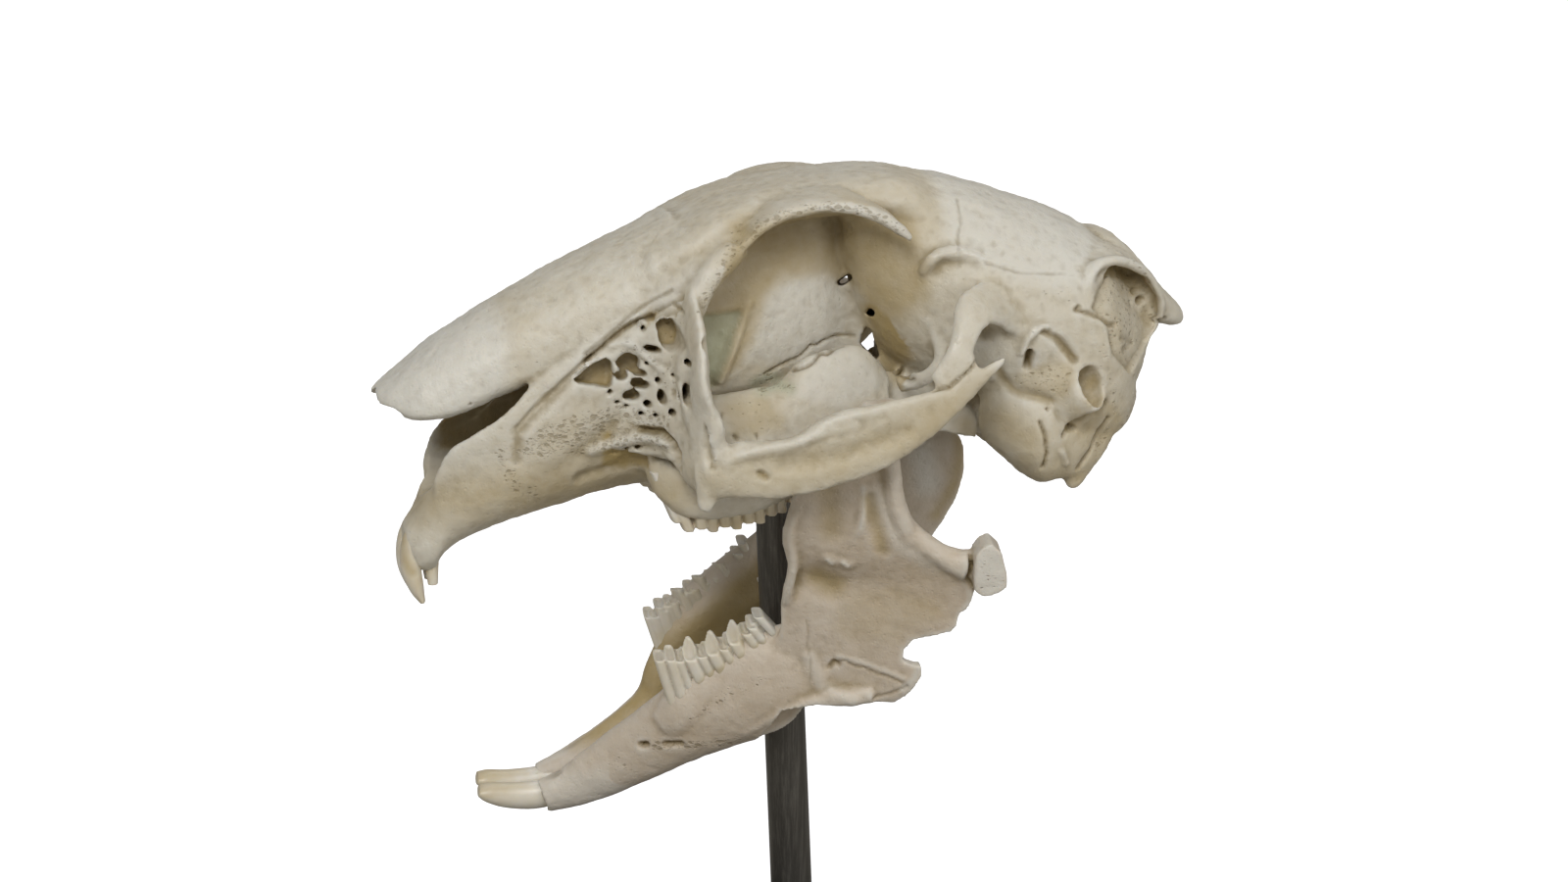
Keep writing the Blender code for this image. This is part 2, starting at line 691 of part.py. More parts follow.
FRONT_RIM = [
    (-1.6, -11.4, -18.0, 1.0, 1.6),
    (-0.6, -12.9, -13.6, 0.9, 1.2),
    (0.0, -14.0, -9.0, 0.9, 1.1),
    (-0.4, -14.5, -4.6, 0.9, 1.1),
    (1.2, -14.9, 0.6, 0.9, 1.1),
    (3.8, -15.5, 6.4, 0.9, 1.1),
    (6.4, -16.0, 10.6, 1.0, 1.2),
]
MASSETER_RIDGE = [
    (6.6, -16.6, 6.0, 0.9, 0.9),
    (6.9, -16.6, 0.0, 0.9, 1.0),
    (6.0, -16.0, -5.6, 0.8, 1.0),
    (3.4, -14.8, -9.4, 0.6, 0.8),
]
LOWER_KEEL = [
    (-4.0, -9.6, -33.2, 1.4, 2.0),
    (1.0, -11.4, -30.8, 1.3, 1.8),
    (6.0, -13.4, -29.6, 1.3, 1.5),
    (10.6, -14.8, -28.8, 1.2, 1.2),
]
LOWER_INCISOR = [
    (-24.0, -1.8, -44.6, 1.3, 1.3),
    (-28.6, -1.75, -46.2, 1.4, 1.35),
    (-32.4, -1.65, -46.3, 1.3, 1.35),
    (-35.0, -1.6, -45.7, 0.9, 1.3),
    (-36.2, -1.6, -45.3, 0.4, 1.1),
]
# Lower teeth: x and z of the crown's outer edge, y, depth of the exposed column, half length
LOWER_TEETH = [
    (-14.0, -23.4, -8.2, 8.0, 1.7),
    (-10.9, -22.6, -8.6, 6.4, 1.4),
    (-7.9, -21.2, -9.0, 5.4, 1.4),
    (-4.9, -19.7, -9.4, 4.6, 1.4),
    (-2.3, -18.2, -9.8, 3.8, 1.1),
]
LOWER_TOOTH_HALF_WIDTH = 2.0


def lower_teeth(side):
    """The five lower cheek teeth of a side."""
    for x, z, y, depth, half_length in LOWER_TEETH:
        yield tooth_ridges(
            "lower_tooth", side, x + 0.25 * depth, y, z - depth, z, half_length, LOWER_TOOTH_HALF_WIDTH, -0.25
        )


def jaw_pose():
    """An empty that rolls and yaws the jaw as it hangs on the rod."""
    pose = bpy.data.objects.new("jaw_pose", None)
    bpy.context.scene.collection.objects.link(pose)
    lateral = Vector(
        (-math.sin(JAW_YAW), math.cos(JAW_YAW) * math.cos(JAW_ROLL), math.cos(JAW_YAW) * math.sin(JAW_ROLL))
    )
    along = lateral.cross(Vector((0, 0, 1))).normalized()
    rise = along.cross(lateral)
    pose.matrix_world = Matrix((along, lateral, rise)).transposed().to_4x4()
    return pose


def spread_right(made):
    """Bends the upper part of the right half outwards, as it hangs."""
    low, high = SPREAD_LEVELS
    for vertex in made.data.vertices:
        share = min(max((vertex.co.z / MM - low) / (high - low), 0.0), 1.0)
        vertex.co.y += RIGHT_JAW_SPREAD * MM * share * share * (3 - 2 * share)


def lower_jaw(side, finish):
    """One half of the lower jaw with its teeth. The left one has lost the thin edge of its plate."""
    name = "mandible_left" if side == LEFT else "mandible_right"
    pieces = [
        tube("jaw_body", side, JAW_BODY),
        slices("jaw_plate", side, JAW_PLATE),
        tube("angle_rim", side, ANGLE_RIM),
        tube("condyle_rim", side, CONDYLE_RIM, (1, 0, 0)),
        tube("front_rim", side, FRONT_RIM, (1, 0, 0)),
        tube("masseter_ridge", side, MASSETER_RIDGE, (1, 0, 0)),
        tube("lower_keel", side, LOWER_KEEL),
    ]
    cutters = [slices("broken_edge", side, BROKEN_EDGE)] if side == LEFT else []
    teeth = [tube("lower_incisor", side, LOWER_INCISOR), *lower_teeth(side)]
    if side == RIGHT:
        for piece in pieces + teeth:
            spread_right(piece)
    return fused(name, pieces + teeth, cutters, JAW_TRIANGLES, finish)


# Stand


def stand_rod(pose, finish):
    """The upright steel rod with the crossbar that carries the two jaw bones."""
    rod = rod_bar("stand_rod", ROD_RADIUS, BASE_THICKNESS + FIT_GAP - SKULL_HEIGHT, ROD_TOP[2])
    axes = pose.matrix_world.to_3x3()
    middle = axes @ Vector((CROSSBAR_PLACE[0], 0.0, CROSSBAR_PLACE[1]))
    reach = axes @ Vector((0.0, CROSSBAR_REACH, 0.0))
    bar = cylinder("crossbar", CROSSBAR_RADIUS, middle - reach, middle + reach, CROSSBAR_SIDES)
    boolean(rod, "UNION", [bar])
    rod.data.materials.append(finish)
    rod.data.shade_smooth()
    rod.data.set_sharp_from_angle(angle=math.radians(50))
    rod.location.z = SKULL_HEIGHT * MM
    return rod


def stand_base(finish):
    """The round base plate, with an eased upper edge."""
    base = cylinder("stand_base", BASE_RADIUS, (0, 0, 0), (0, 0, BASE_THICKNESS), BASE_SIDES)
    ease = base.modifiers.new("Edge", "BEVEL")
    ease.width = 1.0 * MM
    ease.segments = 2
    ease.limit_method = "ANGLE"
    ease.angle_limit = math.radians(60)
    base.data.materials.append(finish)
    return base


def main():
    """Clears the scene and builds the skull and its stand."""
    for old in list(bpy.data.objects):
        bpy.data.objects.remove(old)
    bone = material("bone", (0.74, 0.69, 0.58), 0.5)
    steel = material("dark_steel", (0.09, 0.09, 0.095), 0.42, 0.8)
    plate = material("base_plate", (0.06, 0.06, 0.065), 0.5)
    pose = jaw_pose()
    upper = [cranium(bone), cheek_arch(LEFT, bone), cheek_arch(RIGHT, bone)]
    lower = [lower_jaw(LEFT, bone), lower_jaw(RIGHT, bone)]
    stand_rod(pose, steel)
    stand_base(plate)
    pose.location.z = SKULL_HEIGHT * MM
    for bone_object in lower:
        bone_object.parent = pose
    for bone_object in upper:
        bone_object.location.z = SKULL_HEIGHT * MM


main()
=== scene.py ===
"""Looks of the hare skull: weathered bone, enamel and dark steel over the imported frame.

Tables are in millimetres. Height counts from the middle of the skull, which hangs SKULL_HEIGHT above
the underside of the base plate. The nose points to -X and the animal's left side to -Y. Each table
holds the left side, and the right side is its mirror image.
"""

import logging
import math
import random
from dataclasses import dataclass, field
from enum import Enum

import bmesh
import bpy
import numpy as np
from mathutils import Matrix, Vector, noise
from mathutils.kdtree import KDTree


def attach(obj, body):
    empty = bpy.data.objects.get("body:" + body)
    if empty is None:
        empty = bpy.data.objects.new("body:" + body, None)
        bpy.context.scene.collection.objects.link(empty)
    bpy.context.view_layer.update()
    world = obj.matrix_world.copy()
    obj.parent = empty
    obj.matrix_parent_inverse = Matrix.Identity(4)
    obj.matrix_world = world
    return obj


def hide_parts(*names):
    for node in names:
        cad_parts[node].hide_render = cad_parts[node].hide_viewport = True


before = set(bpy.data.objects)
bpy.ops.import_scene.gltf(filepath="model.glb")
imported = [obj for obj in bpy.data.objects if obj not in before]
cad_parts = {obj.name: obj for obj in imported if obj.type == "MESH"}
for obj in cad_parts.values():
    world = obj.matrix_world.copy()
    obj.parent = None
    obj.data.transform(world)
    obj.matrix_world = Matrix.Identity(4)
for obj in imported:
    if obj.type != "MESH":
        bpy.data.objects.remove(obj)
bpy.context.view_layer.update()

log = logging.getLogger("hare_skull")

MM = 0.001
SKULL_HEIGHT = 74.0
JAW_ROLL = math.radians(13.4)
JAW_YAW = math.radians(-4.3)
RIGHT_JAW_SPREAD = 1.8
SPREAD_LEVELS = (-14.0, 6.0)
PLATE_SQUARENESS = 0.7
BONE_SHADE_ANGLE = 75.0

Row = tuple[float, ...]
Rows = tuple[Row, ...]
Point = tuple[float, float, float]
Span = tuple[float, float]
Piece = bpy.types.Object
Socket = bpy.types.NodeSocket
NodeTree = bpy.types.NodeTree
Material = bpy.types.Material


class Side(Enum):
    """A side of the animal, with the sign that its y values take."""

    LEFT = 1.0
    RIGHT = -1.0

    @property
    def word(self) -> str:
        """The side's name in lower case."""
        return self.name.lower()


BOTH = (Side.LEFT, Side.RIGHT)


def smoothed(rows: Rows, steps: int) -> np.ndarray:
    """Rows with steps - 1 more between each two, on a Catmull-Rom curve.

    Args:
        rows: The rows to pass through.
        steps: How many steps each gap is walked in.

    Returns:
        The denser rows.
    """
    table = np.array(rows, float)
    ends = np.vstack([2 * table[0] - table[1], table, 2 * table[-1] - table[-2]])
    made = []
    for before, here, after, beyond in zip(ends, ends[1:], ends[2:], ends[3:]):
        for step in range(steps):
            t = step / steps
            made.append(
                0.5
                * (
                    2 * here
                    + (after - before) * t
                    + (2 * before - 5 * here + 4 * after - beyond) * t * t
                    + (3 * here - before - 3 * after + beyond) * t**3
                )
            )
    made.append(table[-1])
    return np.array(made)


def power(value: float, exponent: float) -> float:
    """A signed power, which squares off or sharpens an oval."""
    return math.copysign(abs(value) ** exponent, value)


def deselect() -> None:
    """Leaves no object selected."""
    bpy.ops.object.select_all(action="DESELECT")


def activate(piece: Piece) -> None:
    """Makes a piece the only selected and the active object."""
    deselect()
    piece.select_set(True)
    bpy.context.view_layer.objects.active = piece


@dataclass
class Lofter:
    """Skins closed solids through rings of points, by extruding a round face from ring to ring."""

    sides: int = 36
    steps: int = 5

    def turns(self) -> list[float]:
        """The angles of a ring's points."""
        return [2 * math.pi * i / self.sides for i in range(self.sides)]

    def skin(self, name: str, rings: list[list[Vector]]) -> Piece:
        """Extrudes a circle's face through rings of points.

        Args:
            name: The name of the new piece.
            rings: The rings, each with as many points as the lofter has sides, in millimetres.

        Returns:
            The closed piece.
        """
        deselect()
        bpy.ops.mesh.primitive_circle_add(vertices=len(rings[0]), radius=MM, fill_type="NGON")
        piece = bpy.context.object
        piece.name = name
        bpy.ops.object.mode_set(mode="EDIT")
        mesh = bmesh.from_edit_mesh(piece.data)
        mesh.verts.ensure_lookup_table()
        order = {vertex: i for i, vertex in enumerate(mesh.verts)}
        for vertex, i in order.items():
            vertex.co = Vector(rings[0][i]) * MM
        for ring in rings[1:]:
            bpy.ops.mesh.extrude_region()
            mesh = bmesh.from_edit_mesh(piece.data)
            fresh = {}
            for vertex in mesh.verts:
                if vertex.select:
                    near = (edge.other_vert(vertex) for edge in vertex.link_edges)
                    fresh[vertex] = order[next(other for other in near if not other.select)]
            for vertex, i in fresh.items():
                vertex.co = Vector(ring[i]) * MM
            order = fresh
        bmesh.update_edit_mesh(piece.data)
        bpy.ops.mesh.select_all(action="SELECT")
        bpy.ops.mesh.normals_make_consistent(inside=False)
        bpy.ops.object.mode_set(mode="OBJECT")
        return piece

    def body(self, name: str, side: Side, rows: Rows, squareness: float = 1.0) -> Piece:
        """A solid along X.

        Args:
            name: The name of the new piece.
            side: The side it lies on.
            rows: x, top, bottom, middle y, half width and the height of the widest place.
            squareness: 1 for an oval section, less for a squarer one.

        Returns:
            The closed piece.
        """
        rings = []
        for x, top, bottom, y, half_width, widest in smoothed(rows, self.steps):
            ring = []
            for angle in self.turns():
                across = power(math.cos(angle), squareness)
                up = power(math.sin(angle), squareness)
                reach = top - widest if up > 0 else widest - bottom
                ring.append(Vector((x, (y + half_width * across) * side.value, widest + reach * up)))
            rings.append(ring)
        return self.skin(name, rings)

    def tube(self, name: str, side: Side, rows: Rows, up: Point = (0.0, 0.0, 1.0)) -> Piece:
        """A solid along a path.

        Args:
            name: The name of the new piece.
            side: The side it lies on.
            rows: x, y, z, the half size along up and the half size across it.
            up: The direction that the first half size is measured in.

        Returns:
            The closed piece.
        """
        table = smoothed(rows, self.steps)
        points = table[:, :3] * [1.0, side.value, 1.0]
        turned_up = Vector((up[0], up[1] * side.value, up[2]))
        rings = []
        for i, point in enumerate(points):
            along = Vector(points[min(i + 1, len(points) - 1)] - points[max(i - 1, 0)]).normalized()
            across = along.cross(turned_up).normalized()
            rise = across.cross(along).normalized()
            half_up, half_across = table[i, 3:5]
            rings.append(
                [
                    Vector(point) + rise * half_up * math.sin(a) + across * half_across * math.cos(a)
                    for a in self.turns()
                ]
            )
        return self.skin(name, rings)

    def slices(self, name: str, side: Side, rows: Rows) -> Piece:
        """A plate in level slices.

        Args:
            name: The name of the new piece.
            side: The side it lies on.
            rows: z, front x, back x, y at the front, y at the back and half the thickness.

        Returns:
            The closed piece.
        """
        rings = []
        for z, front, back, y_front, y_back, half in smoothed(rows, self.steps):
            ring = []
            for angle in self.turns():
                share = 0.5 + 0.5 * power(math.cos(angle), PLATE_SQUARENESS)
                y = y_front + (y_back - y_front) * share + half * power(math.sin(angle), PLATE_SQUARENESS)
                ring.append(Vector((front + (back - front) * share, y * side.value, z)))
            rings.append(ring)
        return self.skin(name, rings)

    def blade(self, name: str, side: Side, rows: Rows) -> Piece:
        """A plate along X.

        Args:
            name: The name of the new piece.
            side: The side it lies on.
            rows: x, y and z of its inner edge, y and z of its outer edge and half the thickness.

        Returns:
            The closed piece.
        """
        rings = []
        for x, y_in, z_in, y_out, z_out, half in smoothed(rows, self.steps):
            run = Vector((y_out - y_in, z_out - z_in)).normalized()
            ring = []
            for angle in self.turns():
                share = 0.5 + 0.5 * power(math.cos(angle), PLATE_SQUARENESS)
                off = half * power(math.sin(angle), PLATE_SQUARENESS)
                y = y_in + (y_out - y_in) * share - run.y * off
                z = z_in + (z_out - z_in) * share + run.x * off
                ring.append(Vector((x, y * side.value, z)))
            rings.append(ring)
        return self.skin(name, rings)

    def prism(self, name: str, side: Side, outline: Rows, reach: Span, lean: Span = (0.0, 0.0)) -> Piece:
        """A straight-sided cutter that runs across the skull.

        Args:
            name: The name of the new piece.
            side: The side it lies on.
            outline: x and z of its corners.
            reach: y of its outer and its inner end.
            lean: How far x and z move for each step in y.

        Returns:
            The closed piece.
        """
        rings = [
            [Vector((x + lean[0] * y, y * side.value, z + lean[1] * y)) for x, z in outline] for y in reach
        ]
        return self.skin(name, rings)

    def ball(self, name: str, side: Side, centre: Point, radii: Point, turn: float = 0.0) -> Piece:
        """A stretched sphere.

        Args:
            name: The name of the new piece.
            side: The side it lies on.
            centre: Its middle.
            radii: Its three half sizes.
            turn: How far it is turned about Y, in degrees.

        Returns:
            The closed piece.
        """
        deselect()
        middle = Vector((centre[0], centre[1] * side.value, centre[2])) * MM
        bpy.ops.mesh.primitive_uv_sphere_add(segments=self.sides, ring_count=self.sides // 2, radius=MM)
        piece = bpy.context.object
        piece.name = name
        place = Matrix.Translation(middle) @ Matrix.Rotation(math.radians(turn), 4, "Y")
        piece.data.transform(place @ Matrix.Diagonal((*radii, 1.0)))
        return piece


LOFT = Lofter()
ROUND = Lofter(sides=96, steps=1)


def finish_modifier(piece: Piece, kind: str, **settings: object) -> None:
    """Adds a modifier with its settings and applies it."""
    activate(piece)
    bpy.ops.object.modifier_add(type=kind)
    step = piece.modifiers[-1]
    for key, value in settings.items():
        setattr(step, key, value)
    bpy.ops.object.modifier_apply(modifier=step.name)


def boolean(piece: Piece, operation: str, others: list[Piece]) -> None:
    """Joins or cuts a piece with closed pieces in one step, then removes them.

    Args:
        piece: The piece to change.
        operation: UNION or DIFFERENCE.
        others: The pieces to join or to cut with.
    """
    group = bpy.data.collections.new(piece.name + "_" + operation.lower())
    bpy.context.scene.collection.children.link(group)
    for other in others:
        for home in list(other.users_collection):
            home.objects.unlink(other)
        group.objects.link(other)
    before = len(piece.data.polygons)
    settings = {"operation": operation, "operand_type": "COLLECTION", "collection": group}
    finish_modifier(piece, "BOOLEAN", solver="MANIFOLD", **settings)
    if len(piece.data.polygons) == before:
        log.warning("%s: the %s changed nothing", piece.name, operation.lower())
    for other in others:
        bpy.data.objects.remove(other)
    bpy.data.collections.remove(group)


def keep_largest(piece: Piece) -> None:
    """Removes all but the largest closed surface of a piece."""
    mesh = bmesh.new()
    mesh.from_mesh(piece.data)
    mesh.verts.ensure_lookup_table()
    seen = bytearray(len(mesh.verts))
    shells = []
    for start in mesh.verts:
        if seen[start.index]:
            continue
        seen[start.index] = 1
        shell = [start]
        for vertex in shell:
            for edge in vertex.link_edges:
                other = edge.other_vert(vertex)
                if not seen[other.index]:
                    seen[other.index] = 1
                    shell.append(other)
        shells.append(shell)
    shells.sort(key=len)
    lost = [vertex for shell in shells[:-1] for vertex in shell]
    if lost:
        bmesh.ops.delete(mesh, geom=lost, context="VERTS")
        mesh.to_mesh(piece.data)
    mesh.free()


def remesh(piece: Piece, voxel: float, eased: int) -> None:
    """Covers a piece with an even mesh, so that its joins blend.

    Args:
        piece: The piece to change.
        voxel: The size of the new faces, in millimetres.
        eased: How many rounds of smoothing follow.
    """
    finish_modifier(piece, "REMESH", mode="VOXEL", voxel_size=voxel * MM)
    if eased:
        finish_modifier(piece, "SMOOTH", factor=0.5, iterations=eased)


def thin_out(piece: Piece, most: int) -> None:
    """Brings a piece under a number of triangles, keeping the faces where it bends most."""
    triangles = sum(len(face.vertices) - 2 for face in piece.data.polygons)
    if triangles > most:
        finish_modifier(piece, "DECIMATE", ratio=most / triangles)


def shade_round(piece: Piece, angle: float = 60.0) -> None:
    """Shades a piece smooth, apart from edges sharper than an angle in degrees."""
    activate(piece)
    bpy.ops.object.shade_smooth_by_angle(angle=math.radians(angle))


@dataclass(frozen=True)
class Stroke:
    """A soft-edged stroke or patch as seen from the side, in millimetres.

    It raises or sinks the surface by height, paints an amount of a value on it, or both. The paint
    "ease" smooths the surface instead, in as many rounds as the amount says.

    Args:
        path: x and z of the points that it runs through, or of the corners of a filled patch.
        radius: How far it reaches, fading out.
        height: How far it raises the surface along its normals.
        paint: The value to paint, if any.
        amount: How much of it.
        depth: The range of distances from the midline that it acts on.
        facing: How far outwards a face must point, from -1 to 1, with a soft limit above it.
        filled: Whether the path is the outline of a patch.
        sides: The sides of the animal that it acts on.
        inward: Whether it acts on faces towards the midline instead.
    """

    path: Rows
    radius: float
    height: float = 0.0
    paint: str = ""
    amount: float = 1.0
    depth: Span = (3.0, 30.0)
    facing: float = 0.1
    filled: bool = False
    sides: tuple[Side, ...] = BOTH
    inward: bool = False


@dataclass
class Carver:
    """Shapes and paints the points of a fine mesh, in millimetres.

    Each pair of values for the painted shade, the warm painted shade and the crest wear is the amount for
    each millimetre and the most there can be.
    """

    piece: Piece
    sides: tuple[Side, ...] = BOTH
    points: np.ndarray = field(init=False)
    normals: np.ndarray = field(init=False)
    edges: np.ndarray = field(init=False)
    paints: dict[str, np.ndarray] = field(default_factory=dict)
    unevenness: tuple[Span, ...] = ((0.3, 0.16), (0.9, 0.09), (2.1, 0.04))
    dip_shade: Span = (2.6, 0.4)
    fine_shade: Span = (10.0, 0.3)
    stain_and_shade_cover: float = 0.65
    dip_warm_shade: Span = (1.6, 0.95)
    crest_wear: Span = (5.0, 0.8)

    def __post_init__(self) -> None:
        """Reads the mesh."""
        data = self.piece.data
        count = len(data.vertices)
        self.points = np.empty(count * 3, np.float32)
        data.vertices.foreach_get("co", self.points)
        self.points = self.points.reshape(-1, 3).astype(float) / MM
        self.edges = np.empty(len(data.edges) * 2, np.int32)
        data.edges.foreach_get("vertices", self.edges)
        self.edges = self.edges.reshape(-1, 2)
        self.read_normals()

    def read_normals(self) -> None:
        """Reads the direction that the surface faces at each point."""
        self.normals = np.empty(len(self.points) * 3, np.float32)
        self.piece.data.vertex_normals.foreach_get("vector", self.normals)
        self.normals = self.normals.reshape(-1, 3).astype(float)

    def store(self) -> None:
        """Writes the points back."""
        self.piece.data.vertices.foreach_set("co", (self.points * MM).astype(np.float32).ravel())
        self.piece.data.update()
        self.read_normals()

    def averaged(self, values: np.ndarray, rounds: int) -> np.ndarray:
        """Values averaged with those of the neighbouring points."""
        first, second = self.edges[:, 0], self.edges[:, 1]
        count = len(self.points)
        near = np.bincount(first, minlength=count) + np.bincount(second, minlength=count)
        table = values.reshape(count, -1).astype(float)
        for _ in range(rounds):
            total = np.empty_like(table)
            for k in range(table.shape[1]):
                total[:, k] = np.bincount(first, table[second, k], count)
                total[:, k] += np.bincount(second, table[first, k], count)
            table = 0.5 * table + 0.5 * total / np.maximum(near, 1)[:, None]
        return table.reshape(values.shape)

    def eased(self, touched: np.ndarray, rounds: int) -> np.ndarray:
        """The places of some points after rounds of smoothing among themselves."""
        number = np.full(len(self.points), -1)
        number[touched] = np.arange(len(touched))
        ends = number[self.edges]
        first, second = ends[(ends >= 0).all(1)].T
        count = len(touched)
        near = np.maximum(np.bincount(first, minlength=count) + np.bincount(second, minlength=count), 1)
        table = self.points[touched].copy()
        for _ in range(rounds):
            for k in range(3):
                total = np.bincount(first, table[second, k], count)
                total += np.bincount(second, table[first, k], count)
                table[:, k] = 0.5 * table[:, k] + 0.5 * total / near
        return table

    def strength(self, stroke: Stroke, side: Side) -> tuple[np.ndarray, np.ndarray]:
        """How strongly a stroke acts on one side.

        Args:
            stroke: The stroke.
            side: The side it acts on.

        Returns:
            The numbers of the touched points, and the strength from 0 to 1 at each.
        """
        line = np.array(stroke.path, float)
        reach = stroke.radius
        low, high = line.min(0) - reach, line.max(0) + reach
        out = -self.points[:, 1] * side.value
        touched = np.flatnonzero(
            (self.points[:, 0] >= low[0])
            & (self.points[:, 0] <= high[0])
            & (self.points[:, 2] >= low[1])
            & (self.points[:, 2] <= high[1])
            & (out > stroke.depth[0])
            & (out < stroke.depth[1])
        )
        if not len(touched):
            return touched, np.zeros(0)
        here = self.points[touched][:, [0, 2]]
        ends = np.vstack([line, line[:1]]) if stroke.filled else line
        if len(ends) == 1:
            ends = np.vstack([ends, ends])
        nearest = np.full(len(here), np.inf)
        inside = np.zeros(len(here), bool)
        for start, end in zip(ends, ends[1:]):
            run = end - start
            share = np.clip((here - start) @ run / max(run @ run, 1e-9), 0, 1)
            nearest = np.minimum(nearest, np.linalg.norm(here - start - share[:, None] * run, axis=1))
            crosses = (start[1] > here[:, 1]) != (end[1] > here[:, 1])
            slope = run[0] / run[1] if abs(run[1]) > 1e-9 else 0.0
            inside ^= crosses & (here[:, 0] < start[0] + slope * (here[:, 1] - start[1]))
        if stroke.filled:
            nearest[inside] = 0.0
        soft = np.clip(1 - nearest / reach, 0, 1)
        soft = soft * soft * (3 - 2 * soft)
        outward = self.normals[touched, 1] * side.value * (1 if stroke.inward else -1)
        return touched, soft * np.clip((outward - stroke.facing) * 4, 0, 1)

    def apply(self, strokes: tuple[Stroke, ...]) -> None:
        """Carves and paints strokes in order."""
        for stroke in strokes:
            for side in stroke.sides:
                if side not in self.sides:
                    continue
                touched, soft = self.strength(stroke, side)
                if not len(touched):
                    log.warning("%s: a stroke at %s touches nothing", self.piece.name, stroke.path[0])
                    continue
                if stroke.paint == "ease":
                    flat = self.eased(touched, int(stroke.amount))
                    self.points[touched] += (flat - self.points[touched]) * soft[:, None]
                    continue
                if stroke.height:
                    self.points[touched] += self.normals[touched] * (soft * stroke.height)[:, None]
                if stroke.paint:
                    layer = self.paints.setdefault(stroke.paint, np.zeros(len(self.points)))
                    layer[touched] = np.maximum(layer[touched], soft * stroke.amount)

    def hollowness(self, rounds: int) -> np.ndarray:
        """How far each point lies under the smoothed surface around it, in millimetres."""
        return ((self.averaged(self.points, rounds) - self.points) * self.normals).sum(1)

    @staticmethod
    def limited(values: np.ndarray, rate: Span) -> np.ndarray:
        """Values times the first number of a pair, from 0 up to the second."""
        return np.clip(values * rate[0], 0, rate[1])

    def roughen_and_paint_shade(self) -> None:
        """Paints shade into hollows and warm shade into broad dips, and roughs the surface with a faint
        unevenness.
        """
        for waves, height in self.unevenness:
            uneven = np.array([noise.noise(Vector(p) * waves) for p in self.points])
            self.points += self.normals * (uneven * height)[:, None]
        self.store()
        fine = self.averaged(self.hollowness(4), 1)
        dips = self.averaged(self.hollowness(14), 3)
        broad = self.averaged(self.hollowness(50), 3)
        # painted shade: darker where a point lies under the smoothed surface around it, less so where a
        # stain is painted
        shade = self.limited(dips, self.dip_shade) + self.limited(fine, self.fine_shade)
        shade = shade * (1.0 - self.stain_and_shade_cover * np.clip(self.paints.get("stain_and_shade", 0.0), 0, 1))
        # warm painted shade where the surface lies under its broad surroundings
        stain_and_shade = self.limited(broad, self.dip_warm_shade)
        worn = self.limited(-dips, self.crest_wear)
        for name, values in (("hollow", shade), ("stain_and_shade", stain_and_shade), ("pale", worn)):
            self.paints[name] = np.maximum(self.paints.get(name, 0.0), values)

    def hand_over(self, names: tuple[str, ...]) -> None:
        """Writes the painted values onto the piece once it is thinned, from the nearest old point.

        Args:
            names: The values to write, zero where none was painted.
        """
        data = self.piece.data
        count = len(data.vertices)
        tree = KDTree(len(self.points))
        for i, point in enumerate(self.points):
            tree.insert(point, i)
        tree.balance()
        fresh = np.empty(count * 3, np.float32)
        data.vertices.foreach_get("co", fresh)
        nearest = np.array([tree.find(point)[1] for point in fresh.reshape(-1, 3) / MM])
        for name in names:
            values = self.paints.get(name)
            layer = data.attributes.new(name, "FLOAT", "POINT")
            if values is not None:
                layer.data.foreach_set("value", values[nearest].astype(np.float32))


# painted shade, stains with warm painted shade, pores, sheen, a green tint, and pale patches, some of them
# painted highlights
PAINTS = ("hollow", "stain_and_shade", "pitted", "gloss", "green", "pale")


def carve_bone(carver: Carver, strokes: tuple[Stroke, ...], most: int, highest: float = math.inf) -> None:
    """Carves a bone, roughs it and paints shade into its hollows, thins it and writes its painted values
    onto it.

    Args:
        carver: The bone's carver.
        strokes: What to carve and paint.
        most: The most triangles that it may keep.
        highest: The height that it is cut off at.
    """
    carver.apply(strokes)
    carver.store()
    carver.roughen_and_paint_shade()
    carver.points[:, 2] = np.minimum(carver.points[:, 2], highest)
    carver.store()
    thin_out(carver.piece, most)
    carver.hand_over(PAINTS)
    shade_round(carver.piece, BONE_SHADE_ANGLE)


def hang(piece: Piece, place: Matrix | None = None) -> None:
    """Sets a piece in its place on the skull, if it has one, and lifts it to where the skull hangs."""
    lift = Matrix.Translation((0, 0, SKULL_HEIGHT * MM))
    piece.data.transform(lift if place is None else lift @ place)


